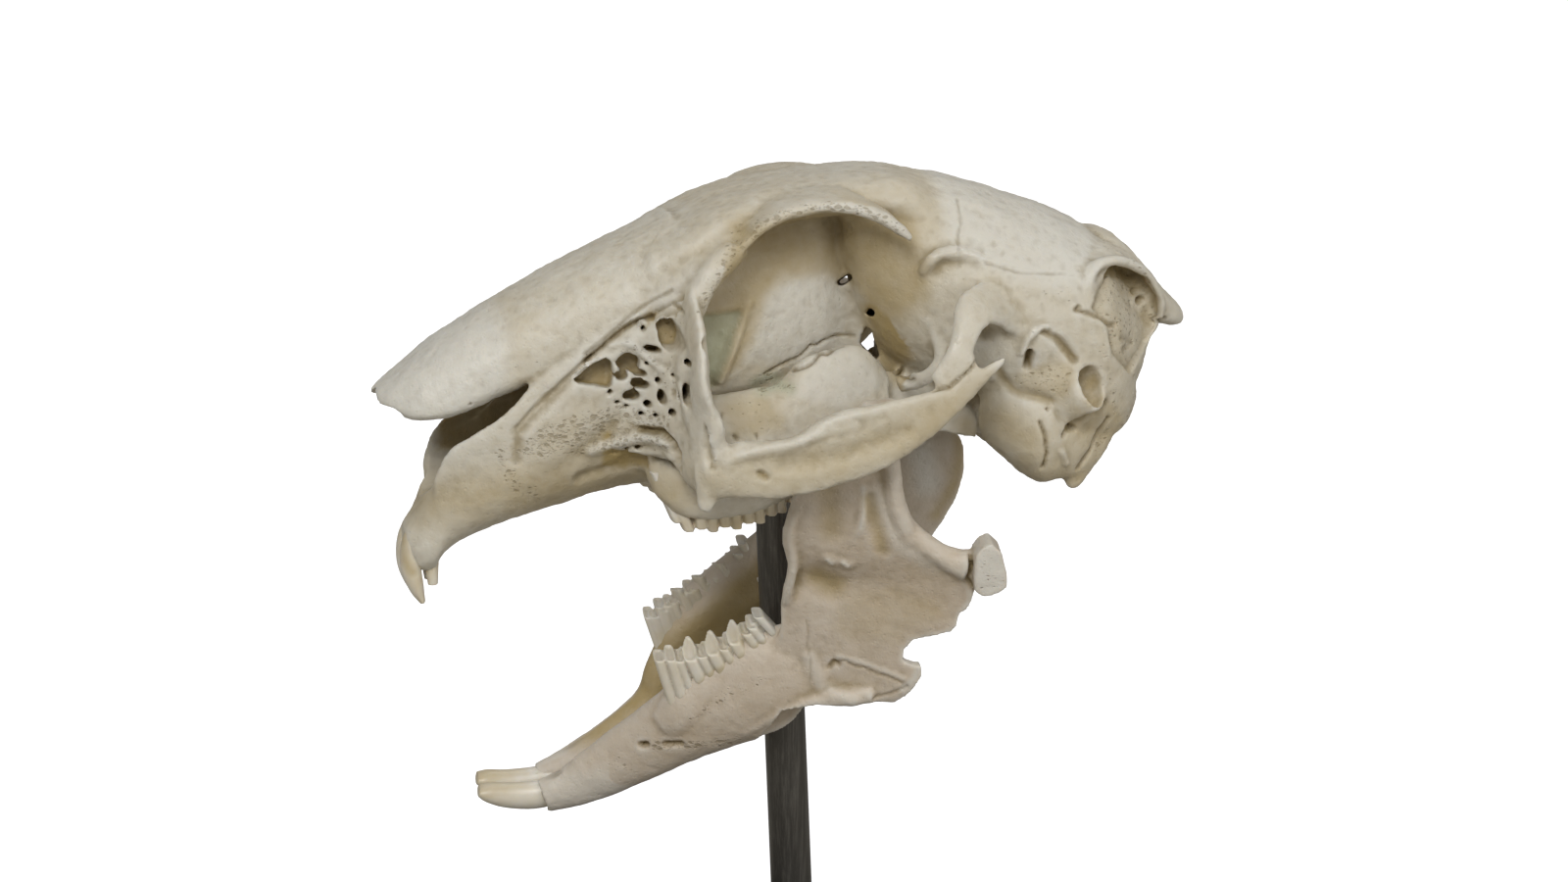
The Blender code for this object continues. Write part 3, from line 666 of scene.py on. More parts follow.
class Graph:
    """Shorthand for building a node tree."""

    def __init__(self, tree: NodeTree) -> None:
        """Starts on a tree."""
        self.tree = tree

    def node(self, kind: str, **settings: object) -> bpy.types.Node:
        """A new node with its settings; a setting that names an input is a socket's value."""
        made = self.tree.nodes.new(kind)
        for key, value in settings.items():
            if hasattr(made, key):
                setattr(made, key, value)
            else:
                made.inputs[key.replace("_", " ")].default_value = value
        return made

    def link(self, source: Socket, target: Socket) -> None:
        """Joins two sockets."""
        self.tree.links.new(source, target)

    def math(self, operation: str, first: object, second: object, clamp: bool = False) -> Socket:
        """A Math node on sockets or numbers."""
        made = self.node("ShaderNodeMath", operation=operation, use_clamp=clamp)
        for socket, value in zip(made.inputs, (first, second)):
            if isinstance(value, Socket):
                self.link(value, socket)
            else:
                socket.default_value = value
        return made.outputs[0]

    def times(self, first: object, second: object, clamp: bool = False) -> Socket:
        """The product of two sockets or numbers."""
        return self.math("MULTIPLY", first, second, clamp)

    def plus(self, first: object, second: object) -> Socket:
        """The sum of two sockets or numbers."""
        return self.math("ADD", first, second)

    def minus(self, first: object, second: object) -> Socket:
        """The difference of two sockets or numbers."""
        return self.math("SUBTRACT", first, second)

    def mix(self, share: object, first: object, second: object) -> Socket:
        """A Mix Color node on sockets or colours."""
        made = self.node("ShaderNodeMix", data_type="RGBA")
        for index, value in ((0, share), (6, first), (7, second)):
            if isinstance(value, Socket):
                self.link(value, made.inputs[index])
            else:
                made.inputs[index].default_value = value if index == 0 else (*value, 1.0)
        return made.outputs[2]

    def span(self, value: Socket, low: float, high: float) -> Socket:
        """A value brought from low..high to 0..1."""
        made = self.node("ShaderNodeMapRange", From_Min=low, From_Max=high)
        self.link(value, made.inputs["Value"])
        return made.outputs[0]

    def noise(self, place: Socket, scale: float, detail: float = 3.0, rough: float = 0.55) -> Socket:
        """A noise of so many waves a metre."""
        made = self.node("ShaderNodeTexNoise", Scale=scale, Detail=detail, Roughness=rough)
        self.link(place, made.inputs["Vector"])
        return made.outputs["Fac"]

    def relief(self, height: Socket, strength: float, distance: float, shader: bpy.types.Node) -> None:
        """Bumps a shader's surface by a height."""
        bump = self.node("ShaderNodeBump", Strength=strength, Distance=distance)
        self.link(height, bump.inputs["Height"])
        self.link(bump.outputs["Normal"], shader.inputs["Normal"])


def start_material(name: str) -> tuple[Material, Graph, bpy.types.Node]:
    """A new material, its graph and its shader."""
    made = bpy.data.materials.new(name)
    made.use_nodes = True
    return made, Graph(made.node_tree), made.node_tree.nodes["Principled BSDF"]


class SharedEffects:
    """Node groups that more than one finish uses."""

    def __init__(self) -> None:
        """Builds the groups."""
        self.mottle = self._mottle()
        self.grain = self._grain()
        self.pits = self._pits()

    @staticmethod
    def _group(name: str, values: dict[str, float], output: str) -> tuple[NodeTree, Graph, bpy.types.Node]:
        """A new group with a place input, number inputs and one number output.

        Args:
            name: The group's name.
            values: Its number inputs and their defaults.
            output: The output's name.

        Returns:
            The group, its graph and its input node.
        """
        group = bpy.data.node_groups.new(name, "ShaderNodeTree")
        group.interface.new_socket("Place", in_out="INPUT", socket_type="NodeSocketVector")
        for key, value in values.items():
            socket = group.interface.new_socket(key, in_out="INPUT", socket_type="NodeSocketFloat")
            socket.default_value = value
        group.interface.new_socket(output, in_out="OUTPUT", socket_type="NodeSocketFloat")
        graph = Graph(group)
        return group, graph, graph.node("NodeGroupInput")

    def _mottle(self) -> NodeTree:
        """Soft cloudy patches, large ones broken up by small ones."""
        group, graph, start = self._group("mottle", {"Patches": 60.0, "Flecks": 500.0}, "Mask")
        large = graph.node("ShaderNodeTexNoise", Detail=3.0, Roughness=0.5)
        small = graph.node("ShaderNodeTexNoise", Detail=4.0, Roughness=0.6)
        for made, size in ((large, "Patches"), (small, "Flecks")):
            graph.link(start.outputs["Place"], made.inputs["Vector"])
            graph.link(start.outputs[size], made.inputs["Scale"])
        both = graph.plus(graph.times(large.outputs["Fac"], 0.7), graph.times(small.outputs["Fac"], 0.3))
        end = graph.node("NodeGroupOutput")
        graph.link(graph.span(both, 0.36, 0.64), end.inputs["Mask"])
        return group

    def _grain(self) -> NodeTree:
        """The fine relief of a dry surface: long waves, short grain and scattered pores."""
        values = {"Grain": 2600.0, "Pores": 1500.0, "Pore Depth": 0.14}
        group, graph, start = self._group("grain", values, "Height")
        waves = graph.noise(start.outputs["Place"], 420.0)
        fine = graph.node("ShaderNodeTexNoise", Detail=3.0, Roughness=0.6)
        pores = graph.node("ShaderNodeTexVoronoi", feature="F1", Randomness=1.0)
        for made, size in ((fine, "Grain"), (pores, "Pores")):
            graph.link(start.outputs["Place"], made.inputs["Vector"])
            graph.link(start.outputs[size], made.inputs["Scale"])
        pits = graph.minus(1.0, graph.span(pores.outputs["Distance"], 0.08, 0.3))
        rough = graph.plus(graph.times(waves, 0.6), graph.times(fine.outputs["Fac"], 0.25))
        end = graph.node("NodeGroupOutput")
        height = graph.minus(rough, graph.times(pits, start.outputs["Pore Depth"]))
        graph.link(height, end.inputs["Height"])
        return group

    def _pits(self) -> NodeTree:
        """Crowded small cells, open where Amount is high: the mask is 1 inside a cell."""
        group, graph, start = self._group("pits", {"Amount": 0.0, "Cells": 1500.0}, "Mask")
        waves = graph.node("ShaderNodeTexNoise", Scale=600.0, Detail=2.0)
        graph.link(start.outputs["Place"], waves.inputs["Vector"])
        bent = graph.node("ShaderNodeVectorMath", operation="MULTIPLY_ADD")
        graph.link(waves.outputs["Color"], bent.inputs[0])
        bent.inputs[1].default_value = (0.0008, 0.0008, 0.0008)
        long = graph.node("ShaderNodeMapping", Scale=(0.6, 1.0, 1.0))
        graph.link(start.outputs["Place"], long.inputs["Vector"])
        graph.link(long.outputs["Vector"], bent.inputs[2])
        masks = []
        for size, share in ((1.0, 1.0), (2.3, 0.6)):
            cells = graph.node("ShaderNodeTexVoronoi", feature="F1", Randomness=1.0)
            graph.link(bent.outputs[0], cells.inputs["Vector"])
            graph.link(graph.times(start.outputs["Cells"], size), cells.inputs["Scale"])
            edge = graph.times(start.outputs["Amount"], 0.5)
            deep = graph.minus(edge, cells.outputs["Distance"])
            masks.append(graph.times(graph.times(deep, 9.0, True), share))
        end = graph.node("NodeGroupOutput")
        graph.link(graph.math("MAXIMUM", *masks), end.inputs["Mask"])
        return group


@dataclass(frozen=True)
class BoneFinish:
    """Dry bleached bone, with painted shade that makes it darker and warmer in its hollows and pores, pale
    patches that partly stand for highlights, and a satin sheen where it is dense.
    """

    name: str
    pale: Point = (0.62, 0.585, 0.495)
    cream: Point = (0.54, 0.475, 0.35)
    ochre: Point = (0.40, 0.30, 0.13)
    shade: Point = (0.16, 0.11, 0.035)
    leached_and_lit: Point = (0.67, 0.65, 0.585)
    verdigris: Point = (0.40, 0.43, 0.31)
    patches: float = 55.0
    roughness: float = 0.46
    relief: float = 0.42
    shade_depth: float = 0.85
    pit_shade: float = 0.55
    pit_depth: float = 3.0
    sheen: float = 0.36
    glow: float = 0.1

    def material(self, effects: SharedEffects) -> Material:
        """Builds the material.

        Args:
            effects: The shared node groups.

        Returns:
            The material, which reads the painted values.
        """
        made, graph, shader = start_material(self.name)
        place = graph.node("ShaderNodeTexCoord").outputs["Object"]
        value = {
            name: graph.node("ShaderNodeAttribute", attribute_name=name).outputs["Fac"] for name in PAINTS
        }
        mottle = graph.node("ShaderNodeGroup", node_tree=effects.mottle)
        pits = graph.node("ShaderNodeGroup", node_tree=effects.pits)
        grain = graph.node("ShaderNodeGroup", node_tree=effects.grain)
        for group in (mottle, pits, grain):
            graph.link(place, group.inputs["Place"])
        mottle.inputs["Patches"].default_value = self.patches
        graph.link(value["pitted"], pits.inputs["Amount"])
        colour = graph.mix(mottle.outputs["Mask"], self.pale, self.cream)
        # pale paint: paler bone, and in places a painted highlight or painted light in shade
        colour = graph.mix(graph.times(value["pale"], 0.8), colour, self.leached_and_lit)
        uneven = graph.plus(0.7, graph.times(mottle.outputs["Mask"], 0.4))
        # stain paint: real stains, and warm painted shade on undersides, in hollows and inside the orbit
        stain_and_shade_share = graph.times(value["stain_and_shade"], uneven)
        colour = graph.mix(stain_and_shade_share, colour, self.ochre)
        colour = graph.mix(value["green"], colour, self.verdigris)
        # painted shade: hollows and pores darkened towards the shade colour
        painted_shade_share = graph.math("MAXIMUM", value["hollow"], graph.times(pits.outputs["Mask"], self.pit_shade))
        colour = graph.mix(graph.times(painted_shade_share, self.shade_depth), colour, self.shade)
        graph.link(colour, shader.inputs["Base Color"])
        height = graph.minus(grain.outputs["Height"], graph.times(pits.outputs["Mask"], self.pit_depth))
        graph.relief(height, self.relief, 0.0005, shader)
        rough = graph.plus(self.roughness, graph.times(grain.outputs["Height"], 0.12))
        rough = graph.minus(rough, graph.times(value["gloss"], self.sheen))
        graph.link(rough, shader.inputs["Roughness"])
        shader.inputs["Subsurface Weight"].default_value = self.glow
        shader.inputs["Subsurface Radius"].default_value = (1.0, 0.7, 0.4)
        shader.inputs["Subsurface Scale"].default_value = 0.0015
        return made


@dataclass(frozen=True)
class SteelFinish:
    """Dark drawn steel with fine scratches along the rod."""

    name: str = "dark_rod_steel"
    colour: Point = (0.1, 0.094, 0.083)
    worn: Point = (0.24, 0.225, 0.2)

    def material(self, effects: SharedEffects) -> Material:
        """Builds the material."""
        made, graph, shader = start_material(self.name)
        place = graph.node("ShaderNodeTexCoord").outputs["Object"]
        stretch = graph.node("ShaderNodeMapping", Scale=(1.0, 1.0, 0.03))
        graph.link(place, stretch.inputs["Vector"])
        scratch = graph.noise(stretch.outputs["Vector"], 3000.0, 4.0, 0.7)
        mottle = graph.node("ShaderNodeGroup", node_tree=effects.mottle)
        graph.link(place, mottle.inputs["Place"])
        share = graph.times(graph.span(scratch, 0.45, 0.75), 0.6)
        graph.link(graph.mix(share, self.colour, self.worn), shader.inputs["Base Color"])
        rough = graph.plus(0.34, graph.times(mottle.outputs["Mask"], 0.16))
        graph.link(rough, shader.inputs["Roughness"])
        graph.relief(scratch, 0.15, 0.0002, shader)
        shader.inputs["Metallic"].default_value = 0.9
        return made


@dataclass(frozen=True)
class LacquerFinish:
    """Matt black lacquer with a faint orange-peel and dust on top."""

    name: str = "base_lacquer"
    colour: Point = (0.022, 0.022, 0.024)
    dust: Point = (0.09, 0.088, 0.082)

    def material(self, effects: SharedEffects) -> Material:
        """Builds the material."""
        made, graph, shader = start_material(self.name)
        place = graph.node("ShaderNodeTexCoord").outputs["Object"]
        mottle = graph.node("ShaderNodeGroup", node_tree=effects.mottle)
        graph.link(place, mottle.inputs["Place"])
        facing = graph.node("ShaderNodeNewGeometry").outputs["Normal"]
        split = graph.node("ShaderNodeSeparateXYZ")
        graph.link(facing, split.inputs[0])
        upward = graph.times(graph.span(split.outputs["Z"], 0.5, 1.0), mottle.outputs["Mask"])
        share = graph.times(upward, 0.35)
        graph.link(graph.mix(share, self.colour, self.dust), shader.inputs["Base Color"])
        graph.relief(graph.noise(place, 900.0, 2.0), 0.12, 0.0003, shader)
        graph.link(graph.plus(0.42, graph.times(share, 0.5)), shader.inputs["Roughness"])
        return made


class Finishes:
    """Every material of the specimen."""

    def __init__(self) -> None:
        """Builds the materials."""
        effects = SharedEffects()
        self.bone = BoneFinish("skull_bone").material(effects)
        jaw = BoneFinish("jaw_bone", pale=(0.58, 0.505, 0.41), cream=(0.50, 0.41, 0.30))
        self.jaw = jaw.material(effects)
        self.tooth = BoneFinish(
            "tooth_enamel",
            pale=(0.72, 0.68, 0.60),
            cream=(0.63, 0.56, 0.42),
            patches=160.0,
            roughness=0.3,
            relief=0.05,
            glow=0.15,
        ).material(effects)
        self.steel = SteelFinish().material(effects)
        self.lacquer = LacquerFinish().material(effects)


def dress(piece: Piece, finish: Material, slot: str, *nodes: str) -> None:
    """Gives a finished piece its material, its place on the frame and the CAD nodes it stands for."""
    piece.data.materials.clear()
    piece.data.materials.append(finish)
    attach(piece, "root")
    if nodes:
        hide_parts(*nodes)
    log.info("%s: %d faces", piece.name, len(piece.data.polygons))


VAULT = (
    (-7.6, 27), (5, 29.5), (12, 26.6), (13.2, 20), (10.6, 17.4), (8.6, 20), (3.9, 22.6), (-1.9, 22.8),
    (-5, 19.2), (-7.6, 16), (-11, 15.6), (-10.5, 20),
)
WALL = (
    (-33.5, 1), (-33.4, 4.2), (-29.7, 8.2), (-25, 12.6), (-20.4, 16.4), (-15.8, 18.8), (-14.2, 16),
    (-14, 4), (-17, 1), (-26, -1.6),
)
RING = (
    (34, 17.5), (35.2, 19.5), (37, 21.2), (38.8, 20.5), (41.2, 19.3), (43, 16.9), (43.7, 13.9), (42, 12),
    (39, 9.5), (36.5, 12), (36, 15.4),
)
NEAR_MIDDLE = (2.0, 11.5)

# Darkened grooves, holes and pits in these strokes are painted shade, and so are the warm patches on
# undersides
CRANIUM_STROKES = (
    # the cheek wall lies under the nasal process, along a step
    Stroke(WALL, 1.2, -0.5, depth=(6, 14)),
    Stroke(
        ((-33.6, 4.9), (-32, 6.8), (-29.7, 8.9), (-27, 11.5), (-25, 13.3)),
        0.4, -0.3, "hollow", 0.6, (6, 14),
    ),
    Stroke(((-44, -8), (-41, -4.4), (-38, -3), (-34, -1.6), (-30, 0)), 3, 0, "ease", 60, (3, 14), -0.4),
    Stroke(((-16.6, 16), (-15, 10), (-14.4, 3)), 1.2, 0, "ease", 40, (8, 22), -0.4),
    Stroke(((-12.6, 12), (-12.4, 6), (-11, 3.6)), 1.8, 0, "ease", 60, (16, 24), -0.2),
    Stroke(((14.8, 33), (14.8, 30), (14.4, 27.6)), 4.2, 0, "ease", 220, (0, 16), -1.4),
    Stroke(((8, 32), (12, 31)), 2.4, 0, "ease", 100, (0, 15), -0.9),
    Stroke(((-25, 0.6), (-20, 0.4), (-17, 0), (-15, 1)), 1.5, 0, "ease", 60, (6, 17), -0.6),
    Stroke(((-48, 8), (-42, 13), (-36, 16), (-36, 9), (-44, 6)), 4, 0, "pale", 0.95, (0, 14), -1.4, True),
    Stroke(
        ((18, 31), (26, 29), (35, 25), (34, 21), (24, 22.5), (18, 25.5)),
        3, 0, "pale", 0.85, (0, 18), -1.4, True,
    ),
    # warm painted shade on the undersides of the snout, the ear and the arch
    Stroke(((-43, -4), (-38, -3), (-32, -3), (-24, -2.6), (-16, -3)), 6, 0, "stain_and_shade", 0.5, (0, 16), -1.4),
    Stroke(((23, 4), (26, 2), (28, -2), (33, -3)), 5, 0, "stain_and_shade", 0.62, (6, 20), -1.4),
    Stroke(((-12, 0), (0, 2), (10, 5), (18, 10)), 5, 0, "stain_and_shade", 0.5, (17, 26), -1.4),
    Stroke(((-27, 16), (-20, 20.6), (-14, 24)), 1.6, 0, "ease", 60, (2, 14), -0.6),
    Stroke(((-25.6, 12.7), (-22.7, 15.2), (-20.4, 16.9), (-18.1, 17.8)), 0.6, -0.9, "hollow", 0.9, (6, 14)),
    Stroke(
        ((-25.7, 13.6), (-23.9, 14.9), (-20.4, 17.9), (-18.1, 19.6), (-15.8, 21)),
        0.35, -0.3, "hollow", 0.6, (6, 14),
    ),
    Stroke(((-18.1, 17.8), (-15.8, 19.7), (-14, 20.8)), 0.35, -0.3, "hollow", 0.5, (6, 14)),
    Stroke(((-24.8, 1.9), (-20.8, 3.3), (-18.5, 3.8), (-17.1, 3.6)), 1.1, 0.6, depth=(6, 16)),
    Stroke(
        ((-19.4, 4.6), (-17.5, 4.7), (-16.5, 3.7), (-15.9, 2.2), (-15.5, 0.6)),
        0.6, -1.1, "hollow", 0.7, (6, 17),
    ),
    Stroke(
        ((-22.8, 14.5), (-21.1, 14.9), (-19.9, 14.4), (-18.8, 13.2), (-17.2, 12)),
        0.6, 0.35, depth=(6, 14),
    ),
    Stroke(((-13.6, 16.4), (-13.3, 8.9), (-13.5, 4.3), (-13, 1.9)), 0.8, -0.6, "stain_and_shade", 0.3, (10, 22)),
    Stroke(((-14, 1.2), (-13.2, -0.6), (-12.5, -2.3)), 1, -1.2, "hollow", 0.9, (9, 18.5)),
    Stroke(
        ((-27.4, 10), (-24.6, 9.4), (-22.6, 10), (-23, 13), (-25.2, 12)),
        1.2, 0, "stain_and_shade", 1, (5, 9.2), -1.4, True,
    ),
    Stroke(
        ((-23, 0), (-23, 14), (-19, 17), (-17.4, 17), (-17.4, 0)),
        1, 0, "stain_and_shade", 1, (5, 9.7), -1.4, True,
    ),
    Stroke(((-18, 7), (-18, 18), (-13.4, 18), (-13.4, 7)), 1, 0, "stain_and_shade", 0.9, (5, 11.4), -1.4, True),
    Stroke(((-40, 0), (-40, 12), (-14, 22), (-14, 2)), 1, 0, "stain_and_shade", 1, (0, 9), 0, True, BOTH, True),
    # painted light: the inner faces of the snout opening are painted pale, with a little stain
    Stroke(((-46, -6), (-46, 8), (-36, 12), (-36, -4)), 1, 0, "stain_and_shade", 0.3, (0, 8), 0, True, BOTH, True),
    Stroke(((-46, -6), (-46, 8), (-36, 12), (-36, -4)), 1, 0, "pale", 1, (0, 8), 0, True, BOTH, True),
    Stroke(
        ((-33, 2), (-28, 1.6), (-22, 2.6), (-17, 2.6), (-15.6, 6.4), (-22, 7), (-30, 5)),
        1, 0, "pitted", 0.82, (6, 15), 0.1, True,
    ),
    Stroke(((-21, 14), (-17, 13), (-15, 8), (-15, 18.4)), 2.2, 0, "pitted", 0.6, (6, 16)),
    Stroke(((-34.8, 2.1), (-34.3, -0.2), (-33.1, -2.4), (-31.4, -3.4)), 2, 0, "pitted", 0.7, (5, 12)),
    Stroke(((-31, 12.3), (-28.7, 12.3), (-34.8, 12.2)), 0.9, 0, "pitted", 0.45, (5, 12)),
    Stroke(((-38.7, 10.1),), 0.6, 0.12, "pale", 1, (4, 10)),
    Stroke(((-38.7, 7.7),), 0.3, -0.3, "hollow", 0.9, (4, 10)),
    # the spongy rim of the orbit
    Stroke(((-14.2, 18), (-11.8, 21), (-9.6, 25), (-6.3, 28)), 2, 0, "pitted", 0.8, (8, 19)),
    Stroke(
        ((-6.3, 28.1), (-2.9, 29.8), (1.7, 30.6), (5.2, 30.2), (8.7, 28.8), (11.6, 25.8)),
        1, 0.15, "pitted", 0.85, (11, 18), -0.6,
    ),
    Stroke(
        ((-6.3, 28.1), (-2.9, 29.8), (1.7, 30.6), (5.2, 30.2), (8.7, 28.8), (11.6, 25.8)),
        1.2, 0, "pale", 0.7, (11, 18), -0.6,
    ),
    Stroke(((-17, 19.6), (-14, 21.4), (-11, 23.6), (-8.8, 26.4)), 2.4, 0, "pale", 0.6, (8, 16)),
    Stroke(((-15.6, 19.4), (-14.4, 18.6), (-13.4, 18.8)), 0.45, -0.5, "hollow", 0.7, (8, 17)),
    # inside the orbit
    # painted shade in the vault under the supraorbital wing
    Stroke(VAULT, 3, 0, "stain_and_shade", 0.72, (1, 15), -1.4, True),
    Stroke(VAULT, 2.6, 0, "hollow", 0.08, (1, 15), -1.4, True),
    Stroke(
        ((-9.5, 10), (-9.5, 17), (-7, 21), (-4, 20), (-6, 14)),
        2, 0, "stain_and_shade", 0.6, (1, 12.5), -1.4, True,
    ),
    Stroke(
        ((-5.8, 18.4), (-6.7, 15.9), (-7.5, 13.6), (-8.5, 11.1), (-9.3, 9.3)),
        0.9, 0.4, "pale", 0.5, NEAR_MIDDLE,
    ),
    Stroke(
        ((-11.4, 17), (-7.2, 17), (-8.6, 12.6), (-10, 8.8), (-11.4, 9.6)),
        0.8, -0.5, "green", 0.75, (3, 12.5), 0, True,
    ),
    Stroke(((-11.4, 19), (-6.6, 19), (-7.2, 16.4), (-11.4, 15.6)), 2, 0, "hollow", 0.3, (3, 12.5), 0, True),
    Stroke(((-9, 15),), 0.45, 0.3, "pale", 0.9, (3, 12.5)),
    Stroke(
        (
            (-3.6, 9.4), (-1.3, 10.4), (0.4, 11), (1.3, 11.5), (2.2, 12.4), (3, 12.3), (4, 12.9),
            (5.8, 13.2), (7.9, 13),
        ),
        0.3, -0.3, "hollow", 0.85, NEAR_MIDDLE, -0.2,
    ),
    Stroke(((-4.8, 8.4), (-3.2, 9), (-1.7, 8.6)), 1.3, 0, "green", 0.6, (3, 13), -0.5),
    Stroke(((-4.8, 8.4), (-3.2, 9), (-1.7, 8.6)), 1.2, 0, "pitted", 0.8, (3, 13), -0.5),
    Stroke(
        ((8.8, 17.2), (11.8, 14.6), (13, 10.7), (12.2, 8), (10.4, 12)),
        1.4, 0, "stain_and_shade", 0.95, (0, 9.5), -1, True,
    ),
    Stroke(((6, 20.4), (8.4, 19.4), (9.4, 16)), 1.3, 0, "stain_and_shade", 0.7, (0, 9.5), -1),
    Stroke(
        ((-6, 12), (-4, 19), (4, 20), (8, 17), (5, 13), (0, 11.4)),
        2, 0, "pale", 0.9, NEAR_MIDDLE, -0.2, True,
    ),
    Stroke(((1, 11.4), (6, 12.6), (9, 8.6), (4, 7), (0, 8)), 1.4, 0, "pale", 0.7, (3, 13), -0.6, True),
    Stroke(((-9, 6.6), (-5, 7), (-3.4, 4.8), (-8, 4.4)), 1.8, 0, "stain_and_shade", 0.5, (5, 14), -0.6, True),
    Stroke(((-9, 6.6), (-5, 7), (-3.4, 4.8), (-8, 4.4)), 1.8, 0, "pitted", 0.3, (5, 14), -0.6, True),
    Stroke(((-8.6, 3.6), (-8.2, 3.3)), 0.4, -0.4, "hollow", 0.9, (5, 14), -0.6),
    Stroke(((-6, 3.7), (-5.8, 3.2)), 0.3, -0.3, "hollow", 0.9, (5, 14), -0.6),
    Stroke(((-10.1, 5.3), (-9.8, 6.2)), 0.3, -0.2, "hollow", 0.6, (5, 14), -0.6),
    Stroke(((12.7, 9),), 0.9, -1, "hollow", 0.9, (5, 14), -0.6),
    # the arch
    Stroke(((-10, 3.2), (-7, 4), (-3.5, 4.7), (-0.1, 5.8), (3.3, 6.6)), 0.9, 0.25, depth=(18, 26)),
    Stroke(((-4.7, 2.2), (-0.1, 2.7), (4.5, 4), (9.1, 5.8)), 1.9, -0.45, depth=(18, 26)),
    Stroke(((-7.5, 1.1), (-6.9, 0.7)), 0.7, -0.9, "stain_and_shade", 0.9, (18, 26)),
    Stroke(((-7.7, 1.3),), 0.4, -0.4, "hollow", 0.8, (18, 26)),
    Stroke(((10.9, 10), (14.3, 10.6), (16.6, 12.4), (18.3, 13.9)), 0.35, -0.45, "hollow", 0.8, (18, 26)),
    Stroke(((15.4, 15.6), (15.2, 17.6)), 0.8, 0, "gloss", 1, (18, 26)),
    # the braincase
    Stroke(
        ((19, 29.5), (18.8, 28.4), (18.7, 27.2), (18.2, 26.4), (18, 25.4), (17.6, 24.3)),
        0.3, -0.16, "hollow", 0.45, (5, 15),
    ),
    Stroke(((20.8, 23.1), (24.9, 21.8), (30.5, 21.4)), 0.3, -0.12, "hollow", 0.25, (10, 17)),
    Stroke(((15.4, 24.3), (18.7, 24.4), (20.5, 23.7)), 0.9, 0, "gloss", 1, (10, 17)),
    Stroke(((19.6, 16.8), (20.4, 15.2)), 2, -1, "stain_and_shade", 0.5, (12, 18.5)),
    Stroke(((22, 10.8), (24.4, 7.8), (28.4, 6.8)), 0.9, -0.4, "stain_and_shade", 0.8, (7, 17), -0.2),
    Stroke(((24, 9), (28, 7.6)), 0.8, 0, "hollow", 0.4, (7, 17), -0.2),
    Stroke(((20.6, 2), (24, -2), (28, -4.4), (33, -5)), 2.6, 0, "stain_and_shade", 0.6, (3, 17), -1),
    Stroke(((34, 14), (36, 9), (37, 5)), 2.4, 0, "pitted", 0.4, (6, 17), -0.2),
    Stroke(((25.9, 12.4), (25.8, 10.8)), 0.75, -1.6, "hollow", 1, (11, 19)),
    Stroke(((25, 12.6), (25.5, 14.2), (26.5, 15.3), (27.7, 15.6)), 0.6, 0.5, "gloss", 1, (11, 19)),
    Stroke(((27.4, 15.1), (29.2, 14), (31.2, 11.6)), 0.8, -0.6, "hollow", 0.45, (11, 19)),
    Stroke(
        ((25, 9.4), (28, 10.4), (30.4, 10.4), (30, 7.6), (26, 8)),
        1.2, 0, "pitted", 0.6, (9, 18), 0, True,
    ),
    Stroke(
        ((25, 9.4), (28, 10.4), (30.4, 10.4), (30, 7.6), (26, 8)),
        1.4, 0, "stain_and_shade", 0.45, (9, 18), 0, True,
    ),
    Stroke(((31.8, 17.7),), 0.5, -0.6, "hollow", 0.8, (10, 18)),
    Stroke(((28, 19.6), (30.6, 19), (32, 18)), 1.6, 0, "pitted", 0.5, (10, 18)),
    Stroke(
        ((31.4, 17.4), (33, 16.9), (34.4, 16.4), (36.2, 15.4), (37.1, 15.2)),
        0.45, -0.5, "hollow", 0.7, (9, 18),
    ),
    # the pitted field behind the ear
    Stroke(RING, 0.8, -0.7, "pitted", 0.55, (5, 17), -0.2, True),
    Stroke(RING, 2.4, 0, "stain_and_shade", 0.3, (5, 17), -0.2, True),
    Stroke(((40.6, 18.4), (42.4, 16.6), (43.2, 14.6)), 1.6, 0, "stain_and_shade", 0.45, (4, 17), -0.3),
    Stroke(
        ((31.4, 6), (34.8, 6.4), (38, 3), (36, -1), (32, -4.6), (30.6, 0)),
        1.6, 0, "stain_and_shade", 0.45, (5, 17), -0.4, True,
    ),
    Stroke(((36.4, 8), (37.4, 4), (35, 0.4)), 1.2, 0, "pitted", 0.7, (5, 17), -0.4),
    Stroke(((32.9, 7), (33.8, 8.8)), 1.6, 0, "stain_and_shade", 0.7, (8, 20), -1.4),
    Stroke(
        ((36, 20.6), (37, 21.3), (38.8, 20.7), (41.2, 19.4), (43, 17), (43.7, 14.2)),
        0.5, -0.5, "hollow", 0.7, (4, 17), -0.3,
    ),
    Stroke(((41.5, 16.7),), 0.75, -1.1, "hollow", 0.8, (4, 17), -0.3),
    Stroke(((40.6, 17.9),), 0.5, -0.9, "hollow", 0.8, (4, 17), -0.3),
    Stroke(((40, 16.6),), 0.35, -0.6, "hollow", 0.8, (4, 17), -0.3),
    Stroke(((39.2, 18.5),), 0.3, -0.5, "hollow", 0.8, (4, 17), -0.3),
    Stroke(((38.4, 19.9),), 0.3, -0.5, "hollow", 0.8, (4, 17), -0.3),
    Stroke(((37.7, 13.3), (38.7, 12.9), (39.5, 12.3), (38.1, 12)), 0.7, -0.3, "pitted", 0.9, (5, 17), -0.2),
    Stroke(((43.2, 14.4), (44.8, 14.2)), 0.45, -0.4, "hollow", 0.6, (2, 12), -0.4),
    Stroke(((36.6, 24.3), (38.4, 23), (39.6, 21.6), (41.4, 20.2)), 1.2, 0, "pitted", 0.6, (0, 12), -0.6),
    Stroke(((40, 9), (40.2, 5), (38.2, 1.6), (35.6, -1.2)), 1.4, 0, "pitted", 0.66, (5, 16), -0.4),
    # the ear
    Stroke(((27.1, 4.3), (27.7, 2.9), (28.1, 0.5), (27.8, -1.3)), 0.4, -0.5, "hollow", 0.85, (8, 18), 0),
